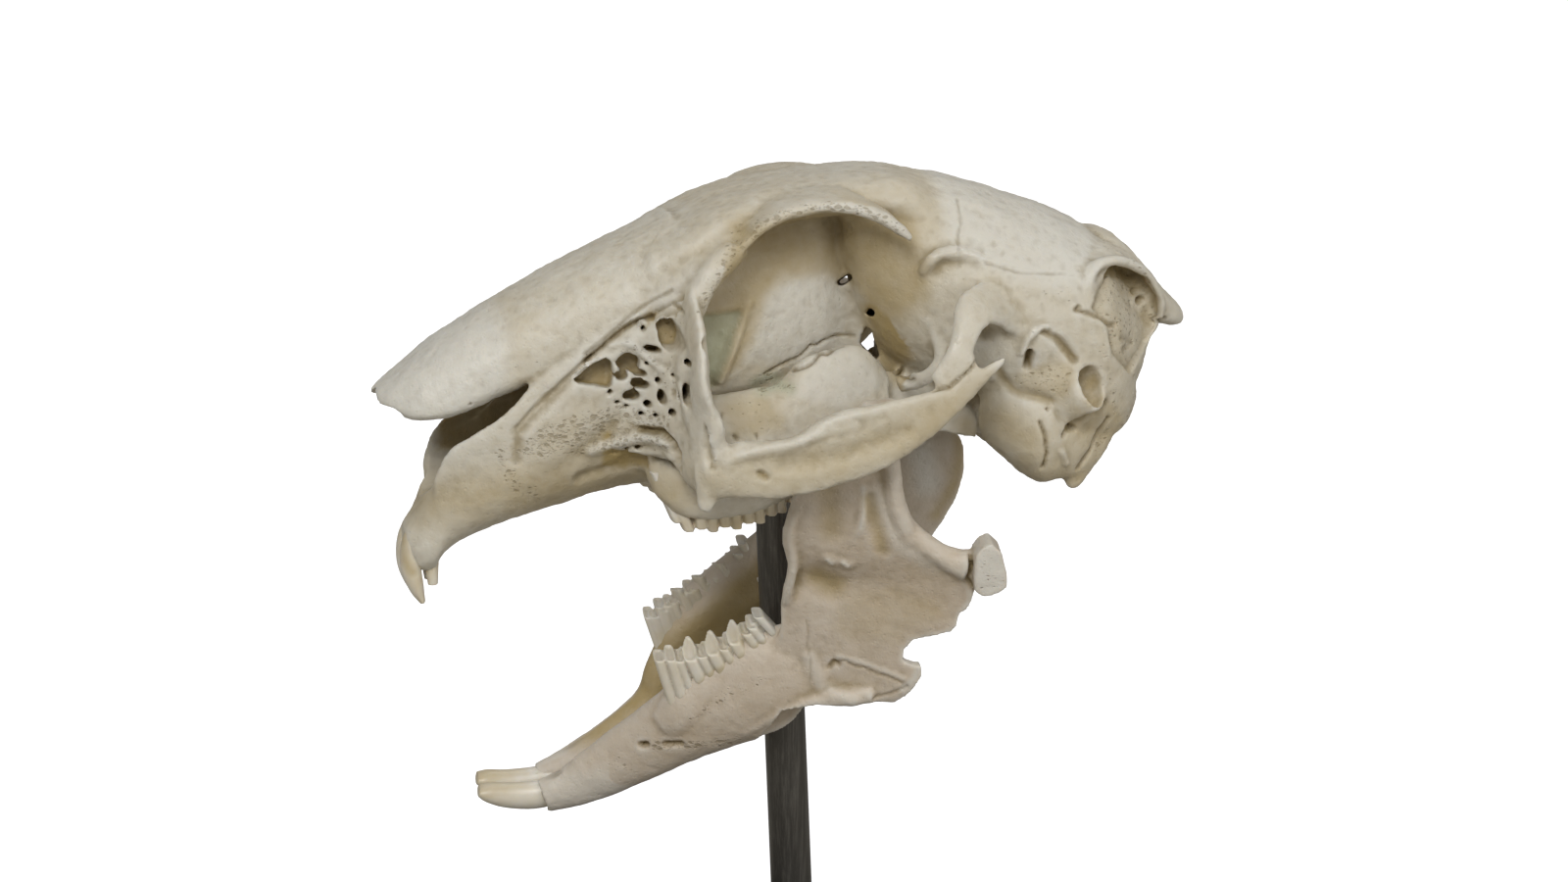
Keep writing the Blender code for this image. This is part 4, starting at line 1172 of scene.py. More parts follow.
    Stroke(((28.1, 5.8),), 0.35, -0.6, "hollow", 0.9, (8, 18), 0),
    Stroke(((30.2, 2.4), (30.6, 3.1), (31.7, 3)), 0.4, -0.6, "hollow", 0.8, (8, 18), 0),
    Stroke(((30, 0.6), (30.8, -1)), 0.6, 0.4, depth=(8, 18), facing=0),
    Stroke(((31, 3.4), (32.6, 4.6), (34.2, 5), (35.2, 6)), 0.8, -0.7, "hollow", 0.6, (8, 18), -0.3),
    Stroke(((36, 3.9), (34.9, 2.1), (34.3, 0.4), (32.5, -2)), 0.5, -0.6, "hollow", 0.7, (8, 18), -0.2),
)


@dataclass
class Cranium:
    """The skull without its lower jaw."""

    voxel: float = 0.25
    most_triangles: int = 190_000
    highest: float = 32.62
    braincase: Rows = (
        (6, 32.6, 22, 0, 6.5, 27), (10, 32.7, 12, 0, 10, 21), (15, 32.2, 8, 0, 13.4, 18),
        (20, 31.2, 6, 0, 15.2, 16), (26, 29.3, 4.5, 0, 16, 15), (32, 27.1, 3, 0, 15.8, 14),
        (37, 24.3, 2, 0, 14.6, 12.5), (41, 19.6, 4.4, 0, 10, 12), (43.2, 16.4, 10.4, 0, 6, 13),
    )
    frontal_roof: Rows = (
        (-18, 25.6, 20, 0, 10.4, 22), (-13, 28, 23, 0, 11.6, 25), (-8, 30.2, 25.5, 0, 11, 27.6),
        (-2, 31.6, 27, 0, 9.6, 29.2), (4, 32.3, 27.5, 0, 9.2, 30), (10, 32.7, 27.5, 0, 9.8, 30),
        (15, 32.2, 26, 0, 11, 29),
    )
    orbit_middle_wall: Rows = (
        (-17, 24, 1, 0, 10, 10), (-12, 27, 3, 0, 9.6, 14), (-7, 28.5, 4, 0, 8.2, 16),
        (-2, 29.5, 5, 0, 6.8, 18), (3, 30, 5.5, 0, 5.2, 19), (7, 30, 5.5, 0, 3.4, 20),
        (11, 30, 5, 0, 4.4, 18), (15, 29, 5, 0, 8, 16),
    )
    nasal_roof: Rows = (
        (-49, 8.3, 6.8, 0, 2.2, 7.2), (-47.7, 9.3, 6.2, 0, 4.6, 7), (-44.5, 11.9, 5, 0, 7.2, 6.6),
        (-40, 15.2, 5.3, 0, 8.3, 8), (-35, 18.1, 7.2, 0, 9, 10.6), (-30, 20.8, 9.4, 0, 9.6, 13),
        (-25, 23.2, 12.4, 0, 10.2, 15.6), (-20, 25.4, 15, 0, 10.8, 18), (-14, 28.2, 17, 0, 11.4, 21),
    )
    snout: Rows = (
        (-45.6, -7.8, -11.4, 0, 2.6, -9.6), (-44.2, -5.8, -13.2, 0, 4, -9.4),
        (-42.4, -1.6, -13.4, 0, 5, -7), (-41, 1.6, -11.4, 0, 5.8, -4), (-38.6, 3.9, -9.6, 0, 7, -2),
        (-35, 5.6, -8.2, 0, 8.2, 0), (-32, 9.4, -7.2, 0, 8.8, 2), (-27, 13.5, -5.8, 0, 9.4, 4.4),
        (-21, 18, -4.3, 0, 10, 7.6), (-15, 21, -3.6, 0, 10.8, 9), (-11, 21, -3, 0, 10.4, 9),
    )
    nasal_cavity: Rows = (
        (-52, 6.6, -8.6, 0, 3, 2), (-46, 9.8, -5.6, 0, 4.6, 5.2), (-43, 12, -4.2, 0, 5.6, 5.4),
        (-39, 15, -3.4, 0, 6.5, 5.2), (-34, 17.8, -2.2, 0, 7, 8), (-28, 20.8, -1, 0, 6.4, 10.6),
        (-22, 23.2, 1, 0, 5.6, 13), (-17, 23, 4, 0, 5, 14),
    )
    nasal_notch: Rows = (
        (-47.9, -9, 4.9, 2.1, 2.3), (-48.2, 0, 5, 2.1, 2.3), (-47.9, 9, 4.9, 2.1, 2.3),
    )
    nasal_process: Rows = (
        (-42.6, -3, -7.2, -5.2, -1.6, 0.5), (-41.2, -4.2, -6.2, -6.2, 1.8, 0.6),
        (-38.7, -5.6, -5.2, -7.4, 3.9, 0.65), (-36.4, -6.6, -4.4, -8.2, 5.4, 0.7),
        (-34.1, -7.4, -3.4, -8.7, 7.3, 0.75), (-32.2, -8, -2, -9, 9.4, 0.8), (-28, -9, 1, -9.6, 13, 0.9),
        (-22, -9.8, 6, -10.2, 17.4, 1), (-16, -10.8, 10, -10.8, 20.8, 1.1),
        (-12, -11.4, 16, -11.4, 22.6, 1.2),
    )
    cheek_flare: Rows = (
        (-22, -8.6, 17.6, -9.6, 2, 0.9), (-19.6, -9.6, 18.8, -10.6, 1.4, 1.2),
        (-17.6, -10.8, 19.6, -12.4, 1.2, 1.5), (-16, -12, 20.2, -15, 1.4, 1.7),
        (-14.7, -12.8, 20.4, -18, 2, 1.5),
    )
    tear_bone: Rows = (
        (-18.4, -9.6, 18.4, 2, 1.6), (-14.6, -11, 21, 2.2, 2), (-10.8, -11.6, 23.6, 2.2, 2),
        (-7.6, -10.6, 26, 1.8, 1.8),
    )
    tooth_dome: Rows = (
        (-18.2, 2, -1.8, -9.2, 1.6, 0), (-16.6, 3, -3.6, -9.4, 2.4, -1), (-14.8, 5, -6, -9.6, 2.9, -2),
        (-11.5, 7.6, -6.6, -9.7, 3.4, -1), (-6, 8.4, -6.4, -9.5, 3.4, 0), (-2.5, 9, -5.6, -9.3, 3.3, 1),
        (0, 11.6, -4.6, -9.2, 3.3, 3), (4, 12.9, -3.8, -9, 3.2, 4), (8, 12.6, -1, -8.4, 2.8, 6),
        (10.6, 9.6, 3, -7.6, 1.8, 6.6),
    )
    tooth_wall: Rows = (
        (-17.8, 0.5, -2.9, -9.9, 1.2, -1.2), (-16.5, 1, -4.6, -10.2, 2.2, -2),
        (-14.8, 1, -5.9, -10.4, 2.6, -3), (-11, 1, -6.6, -10.3, 2.7, -3), (-7, 1, -6.3, -10, 2.6, -2.6),
        (-3, 1, -5.3, -9.6, 2.4, -1.8), (0.4, 0, -3.2, -9.2, 1.8, -1.4),
    )
    palate: Rows = (
        (-16, 0.5, -4.6, 0, 8, -2.5), (-12, 1, -5, 0, 9, -2.6), (-6, 1.5, -4.4, 0, 9, -2),
        (-4.5, 1, -3.6, 0, 8, -1.6),
    )
    skull_base: Rows = (
        (-8, 10, 4.8, 0, 3.4, 8), (-4, 12, 5, 0, 4.4, 8.4), (3, 12, 5, 0, 4.4, 8),
        (10, 9, 3.6, 0, 3.6, 6.4), (20, 9, 1, 0, 3.8, 5), (30, 8, -1.4, 0, 5, 3), (37, 6, -1.6, 0, 5.4, 2),
        (40.5, 5, 0, 0, 5.2, 2.4),
    )
    occipital_shield: Rows = (
        (35.4, 24.4, 15, 0, 4.6, 20), (38.6, 24.4, 14, 0, 6.6, 20.4), (41.4, 22.3, 12.4, 0, 7.6, 18),
        (44.2, 18.9, 13, 0, 7.2, 16), (46.5, 16.3, 12.6, 0, 5.6, 14.4), (47.9, 14.9, 12.6, 0, 3.8, 13.7),
    )
    ear_floor: Rows = (
        (22, 9, 5.6, -8.6, 2.6, 7.2), (26, 13, 3.4, -10.8, 3.8, 8.4), (30, 15.6, 2.4, -11.8, 4.2, 9.4),
        (34, 18, 1.6, -11.4, 4, 10.4), (38, 18, 1.2, -9.6, 3.8, 10.4), (40.6, 15, 3.4, -7.6, 2.6, 9.6),
    )
    orbit_front_bar: Rows = (
        (-13.4, -8.5, 9, 12.4, 2.6), (-13.8, -12, 9.6, 12.4, 1.7), (-13.9, -15, 8, 10.8, 1.5),
        (-13.9, -17.4, 5, 7.6, 1.5), (-13.2, -19.4, 2, 4.4, 1.6), (-12.4, -20.8, 1, 2.8, 1.6),
    )
    orbit_front_edge: Rows = (
        (-10.4, -21.2, 2.6, 1.3, 1.3), (-12.2, -20.6, 3.6, 1.3, 1.4), (-13.8, -19.4, 5.8, 1.3, 1.4),
        (-14.7, -17.6, 9.4, 1.3, 1.4), (-14.7, -15.6, 14.2, 1.3, 1.4), (-13.7, -14.4, 18.8, 1.4, 1.6),
        (-11.6, -13.6, 22.6, 1.6, 1.9), (-8.4, -12.4, 25.4, 1.6, 2),
    )
    arch_root: Rows = (
        (-14, -19, 1, 3.2, 1.8), (-11.4, -20.4, 1.2, 3.2, 1.6), (-8.6, -21.2, 1.6, 3, 1.2),
    )
    masseter_spine: Rows = (
        (-12.6, -19.6, 1, 1.6, 2), (-13.2, -19.9, -1.6, 1.1, 1.5), (-13.5, -20, -3.6, 0.5, 0.7),
    )
    supraorbital_wing: Rows = (
        (-10.6, -10.4, 23.4, -13, 22.4, 0.7), (-8.6, -9.6, 26, -14, 24.6, 0.8),
        (-6, -7.6, 28.6, -14.4, 27.4, 0.9), (-2, -6, 30.2, -14.8, 29.7, 1), (3, -6, 31, -15.2, 30.3, 1),
        (6, -9.2, 30.8, -15.6, 29.7, 0.9), (9, -12.2, 29.2, -15.9, 28.4, 0.8),
        (12.2, -14, 26.6, -16, 26.2, 0.6),
    )
    temple_ridge: Rows = (
        (13.6, -12.6, 21.8, 0.6, 0.7), (14.6, -13.4, 23.6, 0.8, 0.9), (16.4, -13.4, 24.4, 0.8, 1),
        (19.2, -13, 24, 0.7, 1), (22.4, -13, 22.6, 0.5, 0.9),
    )
    cheek_process: Rows = (
        (31, -13.4, 12, 0.9, 1), (28.4, -14.3, 14.6, 1.1, 1.5), (25.2, -14.5, 16.7, 0.9, 2.7),
        (21.8, -16.2, 18.4, 0.95, 3.1), (18.8, -18.9, 18.7, 1, 2.7), (17, -21.3, 17.1, 0.95, 1.9),
        (16.1, -22.2, 14.8, 0.9, 1.6), (15.6, -22.7, 12.6, 0.85, 2.5), (15.1, -22.9, 10.8, 0.8, 3.1),
        (14.8, -23, 9.8, 0.6, 2),
    )
    neck_crest: Rows = (
        (32.8, -13.8, 16.8, 0.5, 0.7), (33, -13.9, 19.4, 0.6, 0.8), (34.2, -13, 21.8, 0.6, 0.9),
        (37, -11.6, 22.4, 0.6, 1), (40.4, -9.8, 21, 0.7, 1.1), (42.8, -8.2, 18.2, 0.8, 1.1),
        (43.8, -7.2, 15, 0.8, 1), (41.8, -7.8, 11.6, 0.6, 0.8),
    )
    crest_web: Rows = (
        (33.6, -8, 22.4, -12.8, 20.6, 0.6), (35.2, -6, 23.3, -12.2, 21.7, 0.7),
        (37.4, -5, 23.3, -11.2, 21.9, 0.8), (40.4, -5, 21.5, -9.6, 20.6, 0.8),
        (42.8, -5, 18.5, -8, 17.8, 0.8), (43.6, -5, 15.6, -7, 15, 0.7),
    )
    ear_tube: Rows = (
        (28.6, -10.8, 3.6, 3.4, 3.2), (30.6, -12.8, 5.6, 3.2, 3), (32.6, -15, 7.6, 3.1, 2.7),
        (33.4, -16, 8.3, 2.9, 2.3),
    )
    ear_hole: Rows = (
        (32, -14.4, 7.3, 1.4, 1.1), (32.9, -15.4, 8.1, 2.3, 1.7), (34.6, -18, 9, 2.8, 2.1),
    )
    neck_process: Rows = (
        (38.4, -8.8, 9.4, 2.6, 2.4), (37.1, -9.8, 4.8, 2.2, 2), (35.3, -10.6, 1.4, 2, 1.6),
        (33.8, -11, -1.2, 1.8, 1.2), (32.7, -11.3, -3.4, 1.3, 0.9), (32, -11.4, -4.7, 0.8, 0.5),
    )
    wing_bone: Rows = (
        (12.2, -8, 8, 0.9, 1.2), (14.6, -11.4, 9.4, 0.7, 1), (15.8, -12.8, 12, 0.6, 0.8),
        (14.8, -12.6, 16, 0.6, 0.8), (12.4, -11, 18.8, 0.6, 0.8),
    )
    throat_plate: Rows = (
        (-6, -5.2, 6.6, -5.4, -2.2, 0.6), (0, -4.9, 9, -5.2, -1.6, 0.55), (6, -4.8, 9, -5.2, -0.2, 0.55),
        (12, -5, 9, -5.6, 1.4, 0.55), (18, -4.8, 8, -5.4, 1.2, 0.55), (22.4, -4.6, 3, -4.8, 0.2, 0.45),
    )
    foramen_magnum: Rows = (
        (37, 0, 9.6, 3.6, 4.4), (41, 0, 8.4, 4.2, 5), (50, 0, 5.2, 4.4, 5.2),
    )
    arch_blade: Rows = (
        (-10, -20.9, -1.9, -20.6, 4.2, 1.25), (-8.1, -21.4, -1.9, -21, 4.4, 1.15),
        (-5, -21.9, -1.9, -21.6, 4.6, 1), (-1, -22.3, -1.4, -22.2, 6.5, 0.95),
        (3, -22.7, -0.2, -22.6, 8.2, 0.95), (7.4, -23, 1.5, -23, 9, 0.9),
        (11.4, -23.2, 4, -23.2, 9.9, 0.85), (15.2, -23.3, 7.2, -23.3, 10.9, 0.8),
        (18.4, -23.3, 10.4, -23.3, 12.7, 0.65), (21, -23.2, 13, -23.2, 13.9, 0.45),
    )
    arch_rim: Rows = (
        (-10, -20.8, 3.4, 1.3, 1.4), (-4, -21.8, 4.2, 0.9, 1.3), (1, -22.4, 7, 0.8, 1.25),
        (7.4, -22.9, 8.4, 0.7, 1.1), (13, -23.1, 9.6, 0.6, 0.9),
    )
    ear_bulla: Rows = (
        (21.6, 4.4, 2.8, -9.8, 0.8, 3.6), (22, 6.6, 1.2, -10, 2.2, 4), (23.4, 8.6, -0.2, -10.2, 3.6, 4.2),
        (25.4, 9.6, -2, -10.6, 4.6, 3.8), (27.2, 9.8, -3.4, -10.9, 5, 3.4),
        (28.8, 9.6, -3.9, -11.1, 4.7, 3), (30.6, 9, -3.5, -11.3, 3.8, 3), (32.6, 8, -3.5, -11.4, 2.6, 2.4),
        (34.6, 7, -2.8, -11.2, 1.8, 2),
    )
    neck_condyle: tuple[Point, Point, float] = ((39.0, -4.6, 4.4), (2.3, 2.4, 3.4), 20.0)
    optic_holes: tuple[Rows, ...] = (
        (
            (9.4, 12.4), (10, 13.6), (10.7, 13.3), (11, 11.6), (11.7, 9.9), (11, 9.2), (10.2, 10.4),
            (9.2, 11.6),
        ),
        ((9.9, 15), (10.4, 15.8), (11.2, 15.5), (11, 14.6)),
        ((6, 18.5), (7.4, 18.6), (8.6, 19.5), (8, 20), (6.9, 19.4)),
    )
    optic_lean: Span = (0.25, -0.175)
    optic_reach: Span = (-9.0, 9.0)
    windows: Rows = (
        (-16.3, 16, 1.1, 1.7, 12), (-14, 16, 0.55, 0.95, -25), (-18, 14.1, 0.95, 0.42, -10),
        (-20.7, 12.5, 1.1, 0.95, 0), (-21.5, 10.9, 0.7, 0.58, 20), (-19.4, 11.25, 0.8, 0.42, -12),
        (-19.5, 9.95, 1, 0.58, -10), (-20.3, 8.6, 0.95, 0.6, 0), (-18.6, 12.5, 0.3, 0.48, 20),
        (-18.6, 7.7, 0.42, 0.42, 0), (-21.9, 7.75, 0.42, 0.26, 0), (-20.9, 7.3, 0.5, 0.26, 0),
        (-17.2, 8.8, 0.4, 0.9, 10), (-15.1, 9.9, 0.5, 1.25, 0), (-16.1, 9.4, 0.26, 0.6, 0),
        (-16, 11.4, 0.38, 0.28, 0), (-15.1, 11.9, 0.22, 0.2, 0), (-14.4, 11.5, 0.2, 0.3, 0),
        (-20.8, 2.2, 0.38, 0.26, 0), (-19.6, 2.4, 0.32, 0.32, 0), (-22, 1.5, 0.4, 0.26, 0),
        (-19.7, 1.25, 0.38, 0.32, 0), (-20.8, 1.15, 0.26, 0.28, 0), (-23.1, 0.8, 0.32, 0.3, 0),
        (-21.8, 0.3, 0.34, 0.24, 0), (-20.2, 0.1, 0.34, 0.3, 0), (-22.7, 9, 0.34, 0.3, 0),
        (-17.5, 10.6, 0.34, 0.42, 0), (-16.7, 12.6, 0.42, 0.28, 0), (-17.8, 6.4, 0.4, 0.3, 0),
        (-19.3, 6.5, 0.42, 0.28, 0), (-16.3, 7.2, 0.34, 0.45, 0), (-14.9, 13.5, 0.4, 0.36, 0),
        (-23.4, 7.6, 0.34, 0.22, 0), (-14.9, 7.1, 0.32, 0.42, 0), (-18.9, 16.4, 0.36, 0.42, 0),
    )
    window_floor: Point = (8.5, -18.6, 0.85)
    window_sides: int = 12
    window_unevenness: Span = (1.0, 1.26)
    window_start: float = -20.0
    great_window_reach: Span = (-20.0, -8.0)
    great_window: Rows = (
        (-27.2, 10.3), (-25.1, 12.1), (-23.1, 13.1), (-22.5, 12.2), (-22.4, 10.5), (-22.6, 9.4),
        (-24.6, 9.8), (-26.3, 10),
    )

    def _middle(self) -> list[Piece]:
        """The pieces that lie across the midline."""
        return [
            LOFT.body("cranium", Side.LEFT, self.braincase, 0.92),
            LOFT.body("frontal_roof", Side.LEFT, self.frontal_roof, 0.7),
            LOFT.body("orbit_middle_wall", Side.LEFT, self.orbit_middle_wall, 0.9),
            LOFT.body("nasal_roof", Side.LEFT, self.nasal_roof, 0.85),
            LOFT.body("snout", Side.LEFT, self.snout, 0.85),
            LOFT.body("palate", Side.LEFT, self.palate, 0.6),
            LOFT.body("skull_base", Side.LEFT, self.skull_base, 0.9),
            LOFT.body("occipital_shield", Side.LEFT, self.occipital_shield, 0.7),
        ]

    def _windows(self, side: Side) -> list[Piece]:
        """Cutters for the cells of the pierced cheek wall, each an uneven oval."""
        floor, start, slope = self.window_floor
        chance = random.Random(7)
        made = []
        for x, z, half_x, half_z, turn in self.windows:
            outline = []
            lean_x, lean_z = math.cos(math.radians(turn)), math.sin(math.radians(turn))
            for step in range(self.window_sides):
                angle = 2 * math.pi * step / self.window_sides
                reach = chance.uniform(*self.window_unevenness)
                along = power(math.cos(angle), 0.8) * half_x * reach
                up = power(math.sin(angle), 0.8) * half_z * reach
                outline.append((x + along * lean_x - up * lean_z, z + along * lean_z + up * lean_x))
            depth = floor + max(0.0, x - start) * slope
            made.append(LOFT.prism("window", side, tuple(outline), (self.window_start, -depth)))
        made.append(LOFT.prism("great_window", side, self.great_window, self.great_window_reach))
        return made

    def _paired(self, side: Side) -> list[Piece]:
        """The pieces of one side."""
        return [
            LOFT.body("tooth_dome", side, self.tooth_dome),
            LOFT.body("tooth_wall", side, self.tooth_wall, 0.6),
            LOFT.tube("orbit_front_bar", side, self.orbit_front_bar),
            LOFT.tube("orbit_front_edge", side, self.orbit_front_edge, (1, 0, 0)),
            LOFT.tube("arch_root", side, self.arch_root),
            LOFT.tube("masseter_spine", side, self.masseter_spine, (0, 1, 0)),
            LOFT.blade("supraorbital_wing", side, self.supraorbital_wing),
            LOFT.tube("temple_ridge", side, self.temple_ridge),
            LOFT.tube("cheek_process", side, self.cheek_process, (0, -0.8, 0.6)),
            LOFT.tube("neck_crest", side, self.neck_crest),
            LOFT.blade("crest_web", side, self.crest_web),
            LOFT.tube("ear_tube", side, self.ear_tube),
            LOFT.tube("neck_process", side, self.neck_process, (1, 0, 0)),
            LOFT.blade("nasal_process", side, self.nasal_process),
            LOFT.blade("cheek_flare", side, self.cheek_flare),
            LOFT.tube("tear_bone", side, self.tear_bone),
            LOFT.body("ear_floor", side, self.ear_floor),
            LOFT.tube("wing_bone", side, self.wing_bone, (0, 1, 0)),
            LOFT.blade("throat_plate", side, self.throat_plate),
            LOFT.blade("arch_blade", side, self.arch_blade),
            LOFT.tube("arch_rim", side, self.arch_rim),
            LOFT.body("ear_bulla", side, self.ear_bulla),
            LOFT.ball("neck_condyle", side, *self.neck_condyle),
        ]

    def _cutters(self) -> list[Piece]:
        """The hollows that open to the outside."""
        return [
            LOFT.body("nasal_cavity", Side.LEFT, self.nasal_cavity, 0.9),
            LOFT.tube("foramen_magnum", Side.LEFT, self.foramen_magnum),
            LOFT.tube("nasal_notch", Side.LEFT, self.nasal_notch),
            *(
                LOFT.prism("optic_hole", Side.LEFT, hole, self.optic_reach, self.optic_lean)
                for hole in self.optic_holes
            ),
            *(LOFT.tube("ear_hole", side, self.ear_hole) for side in BOTH),
            *(window for side in BOTH for window in self._windows(side)),
        ]

    def build(self, finishes: Finishes) -> Piece:
        """Builds and dresses the bone.

        Args:
            finishes: The materials.

        Returns:
            The finished piece.
        """
        bone, *others = self._middle()
        for side in BOTH:
            others += self._paired(side)
        boolean(bone, "UNION", others)
        remesh(bone, 0.36, 5)
        boolean(bone, "DIFFERENCE", self._cutters())
        keep_largest(bone)
        remesh(bone, self.voxel, 2)
        carve_bone(Carver(bone), CRANIUM_STROKES, self.most_triangles, self.highest)
        hang(bone)
        dress(bone, finishes.bone, "bone", "cranium", "zygomatic_arch_left", "zygomatic_arch_right")
        return bone


UPPER_TOOTH_STROKES = (
    Stroke(((-14.6, -7), (-8, -7), (-2, -5.6)), 2.4, 0, "stain_and_shade", 0.5, (6, 14), -1.4),
    Stroke(((-46, -8.6), (-45.9, -11.6), (-45, -13)), 1, 0, "stain_and_shade", 0.55, (0, 6), -1),
    Stroke(((-44.4, -14.6), (-44, -16.6)), 1.2, 0, "stain_and_shade", 0.35, (0, 6), -1),
    Stroke(((-15.6, -1), (-15, -4), (-14, -7)), 2, 0, "stain_and_shade", 0.35, (6, 14), -1),
)
LOWER_TOOTH_STROKES = (
    Stroke(
        ((-13.1, -30.4), (-10.4, -26.9), (-8.7, -25.3), (-6.4, -23.8), (-3.5, -21.5), (-1.2, -20.3)),
        0.9, 0, "stain_and_shade", 0.6, (4, 14), -1,
    ),
    # a painted highlight on the last tooth, with real sheen
    Stroke(((-4.8, -18), (-2.4, -19.4), (-3.4, -20.6)), 1.6, 0, "pale", 1, (4, 14), -1),
    Stroke(((-4.8, -18), (-2.4, -19.4), (-3.4, -20.6)), 1.6, 0, "gloss", 0.8, (4, 14), -1),
    Stroke(((-31, -43.6), (-36, -44.6)), 1.6, 0, "stain_and_shade", 0.4, (0, 5), -1),
)


RIB_SECTIONS = (
    (0.0, 1.0), (0.3, 1.0), (0.55, 1.0), (0.75, 1.0), (0.9, 1.0),
    (0.98, 0.98), (0.995, 0.92), (1.0, 0.8), (0.985, 0.66), (0.96, 0.4),
)


@dataclass
class Teeth:
    """The crowns of both jaws."""

    voxel: float = 0.14
    most_triangles: int = 60_000
    upper_ribs: Rows = (
        (-14.9, -6.8, -17.6, -0.6, -10, 0.6, 1.5, 0), (-13.6, -7.7, -16.2, -1, -9.8, 0.72, 1.9, 0.1),
        (-12.2, -7.3, -12.7, -3, -9.8, 0.74, 2.1, 0.15), (-10.8, -7.7, -11.3, -3, -9.8, 0.7, 2.1, 0.15),
        (-9.4, -7.2, -9.9, -3, -9.8, 0.74, 2.1, 0.15), (-8, -7.5, -8.5, -3, -9.8, 0.7, 2.1, 0.15),
        (-6.6, -6.9, -7.1, -2.8, -9.7, 0.74, 2.1, 0.15), (-5.2, -7, -5.7, -2.6, -9.7, 0.7, 2, 0.15),
        (-3.8, -6.2, -4.3, -2.4, -9.6, 0.7, 1.9, 0.15), (-2.5, -6, -3, -2.2, -9.5, 0.66, 1.7, 0.15),
        (-1.3, -5, -1.8, -2, -9.4, 0.5, 1.3, 0.15),
    )
    upper_incisor: Rows = (
        (-43, -1.7, -7, 1.4, 1.3), (-44.6, -1.7, -9.6, 1.4, 1.35), (-45, -1.7, -12.6, 1.25, 1.35),
        (-44.4, -1.7, -15.2, 0.9, 1.3), (-43.7, -1.7, -17, 0.35, 1.1),
    )
    peg_incisor: Rows = (
        (-42.2, -1.5, -9, 0.8, 0.9), (-42.5, -1.5, -12.6, 0.8, 0.9), (-42.4, -1.5, -15, 0.6, 0.7),
    )
    lower_incisor: Rows = (
        (-24, -1.8, -44.4, 1.4, 1.4), (-28.6, -1.75, -45.7, 1.75, 1.6), (-32.4, -1.65, -45.8, 1.6, 1.5),
        (-35, -1.6, -45.3, 1.2, 1.45), (-36.2, -1.6, -45, 0.6, 1.2),
    )
    lower_ribs: Rows = (
        (-15.4, -23.8, -12.5, -33.6, -8.1, 0.68, 1.7, 0), (-14.1, -23.5, -11.3, -33, -8.2, 0.7, 1.9, 0.1),
        (-13, -23.9, -10.1, -32, -8.2, 0.62, 1.8, 0), (-11.8, -22.9, -8.1, -30.8, -8.4, 0.92, 1.9, 0.42),
        (-10.5, -23.2, -6.9, -30.4, -8.5, 0.74, 1.9, 0), (-9.2, -22, -5.7, -28.8, -8.8, 0.92, 1.9, 0.42),
        (-7.9, -22.1, -4.4, -28.4, -8.9, 0.74, 1.9, 0), (-6.7, -20.5, -3.2, -26.8, -9.1, 0.9, 1.9, 0.42),
        (-5.3, -20, -1.9, -25.4, -9.3, 0.72, 1.8, 0), (-4.7, -19, -1.4, -23.6, -9.5, 0.7, 1.7, 0.1),
        (-4, -17.7, -0.6, -22, -9.7, 0.7, 1.5, 0),
    )
    right_wear: Row = (-2.6, -1.7, -1.0, -0.6)
    right_shift: float = 0.5
    dips: Span = (-0.4, 0.5)
    sunk: float = 0.7
    shade: Span = (4.4, 0.75)

    @staticmethod
    def rib(side: Side, row: Row, sunk: float = 0.0) -> Piece:
        """One cross ridge of a cheek tooth, a leaning column with a worn basin on its end.

        Args:
            side: The side it lies on.
            row: x and z of its crown, x and z of its root, its y, half its length, half its width and how
                much higher its inner edge stands for each step towards the midline.
            sunk: How far its root lies towards the midline.

        Returns:
            The closed ridge.
        """
        x_crown, z_crown, x_root, z_root, y, half_length, half_width, rise = row
        rings = []
        for share, slim in RIB_SECTIONS:
            ring = []
            for angle in LOFT.turns():
                across = power(math.sin(angle), 0.6) * half_width * (0.4 + 0.6 * slim)
                taper = 1.0 - 1.5 * rise * share * max(0.0, across / half_width)
                along = power(math.cos(angle), 0.5) * half_length * slim * taper
                x = x_root + (x_crown - x_root) * share + along
                z = z_root + (z_crown - z_root) * share + rise * across
                ring.append(Vector((x, (y + sunk * (1 - share) + across) * side.value, z)))
            rings.append(ring)
        return LOFT.skin("tooth_rib", rings)

    def row_of_ribs(self, side: Side, rows: Rows, dip: float, sunk: float) -> list[Piece]:
        """The ridges of a row and the lower folds that join each to the next.

        Args:
            side: The side they lie on.
            rows: The ridges.
            dip: How far the folds stay back from the crowns.
            sunk: How far the roots lie towards the midline.

        Returns:
            The closed ridges and folds.
        """
        made = [self.rib(side, row, sunk) for row in rows]
        for before, after in zip(rows, rows[1:]):
            fold = [(a + b) / 2 for a, b in zip(before, after)]
            fold[1] -= dip
            fold[4] += 0.6
            fold[5] = abs(after[0] - before[0]) * 0.5 + 0.1
            fold[6] -= 0.45
            made.append(self.rib(side, tuple(fold), sunk))
        return made

    def upper(self, side: Side) -> list[Piece]:
        """The upper teeth of one side."""
        made = [
            LOFT.tube("upper_incisor", side, self.upper_incisor, (1, 0, 0)),
            LOFT.tube("peg_incisor", side, self.peg_incisor, (1, 0, 0)),
        ]
        return made + self.row_of_ribs(side, self.upper_ribs, self.dips[0], 0.0)

    def lower(self, side: Side) -> list[Piece]:
        """The lower teeth of one side, in the jaw's frame."""
        incisor = LOFT.tube("lower_incisor", side, self.lower_incisor)
        rows = [list(row) for row in self.lower_ribs]
        if side is Side.RIGHT:
            for row, wear in zip(rows, self.right_wear):
                row[1] += wear
            for row in rows:
                row[0] += self.right_shift
        ribs = tuple(tuple(row) for row in rows)
        return [incisor] + self.row_of_ribs(side, ribs, self.dips[1], self.sunk)

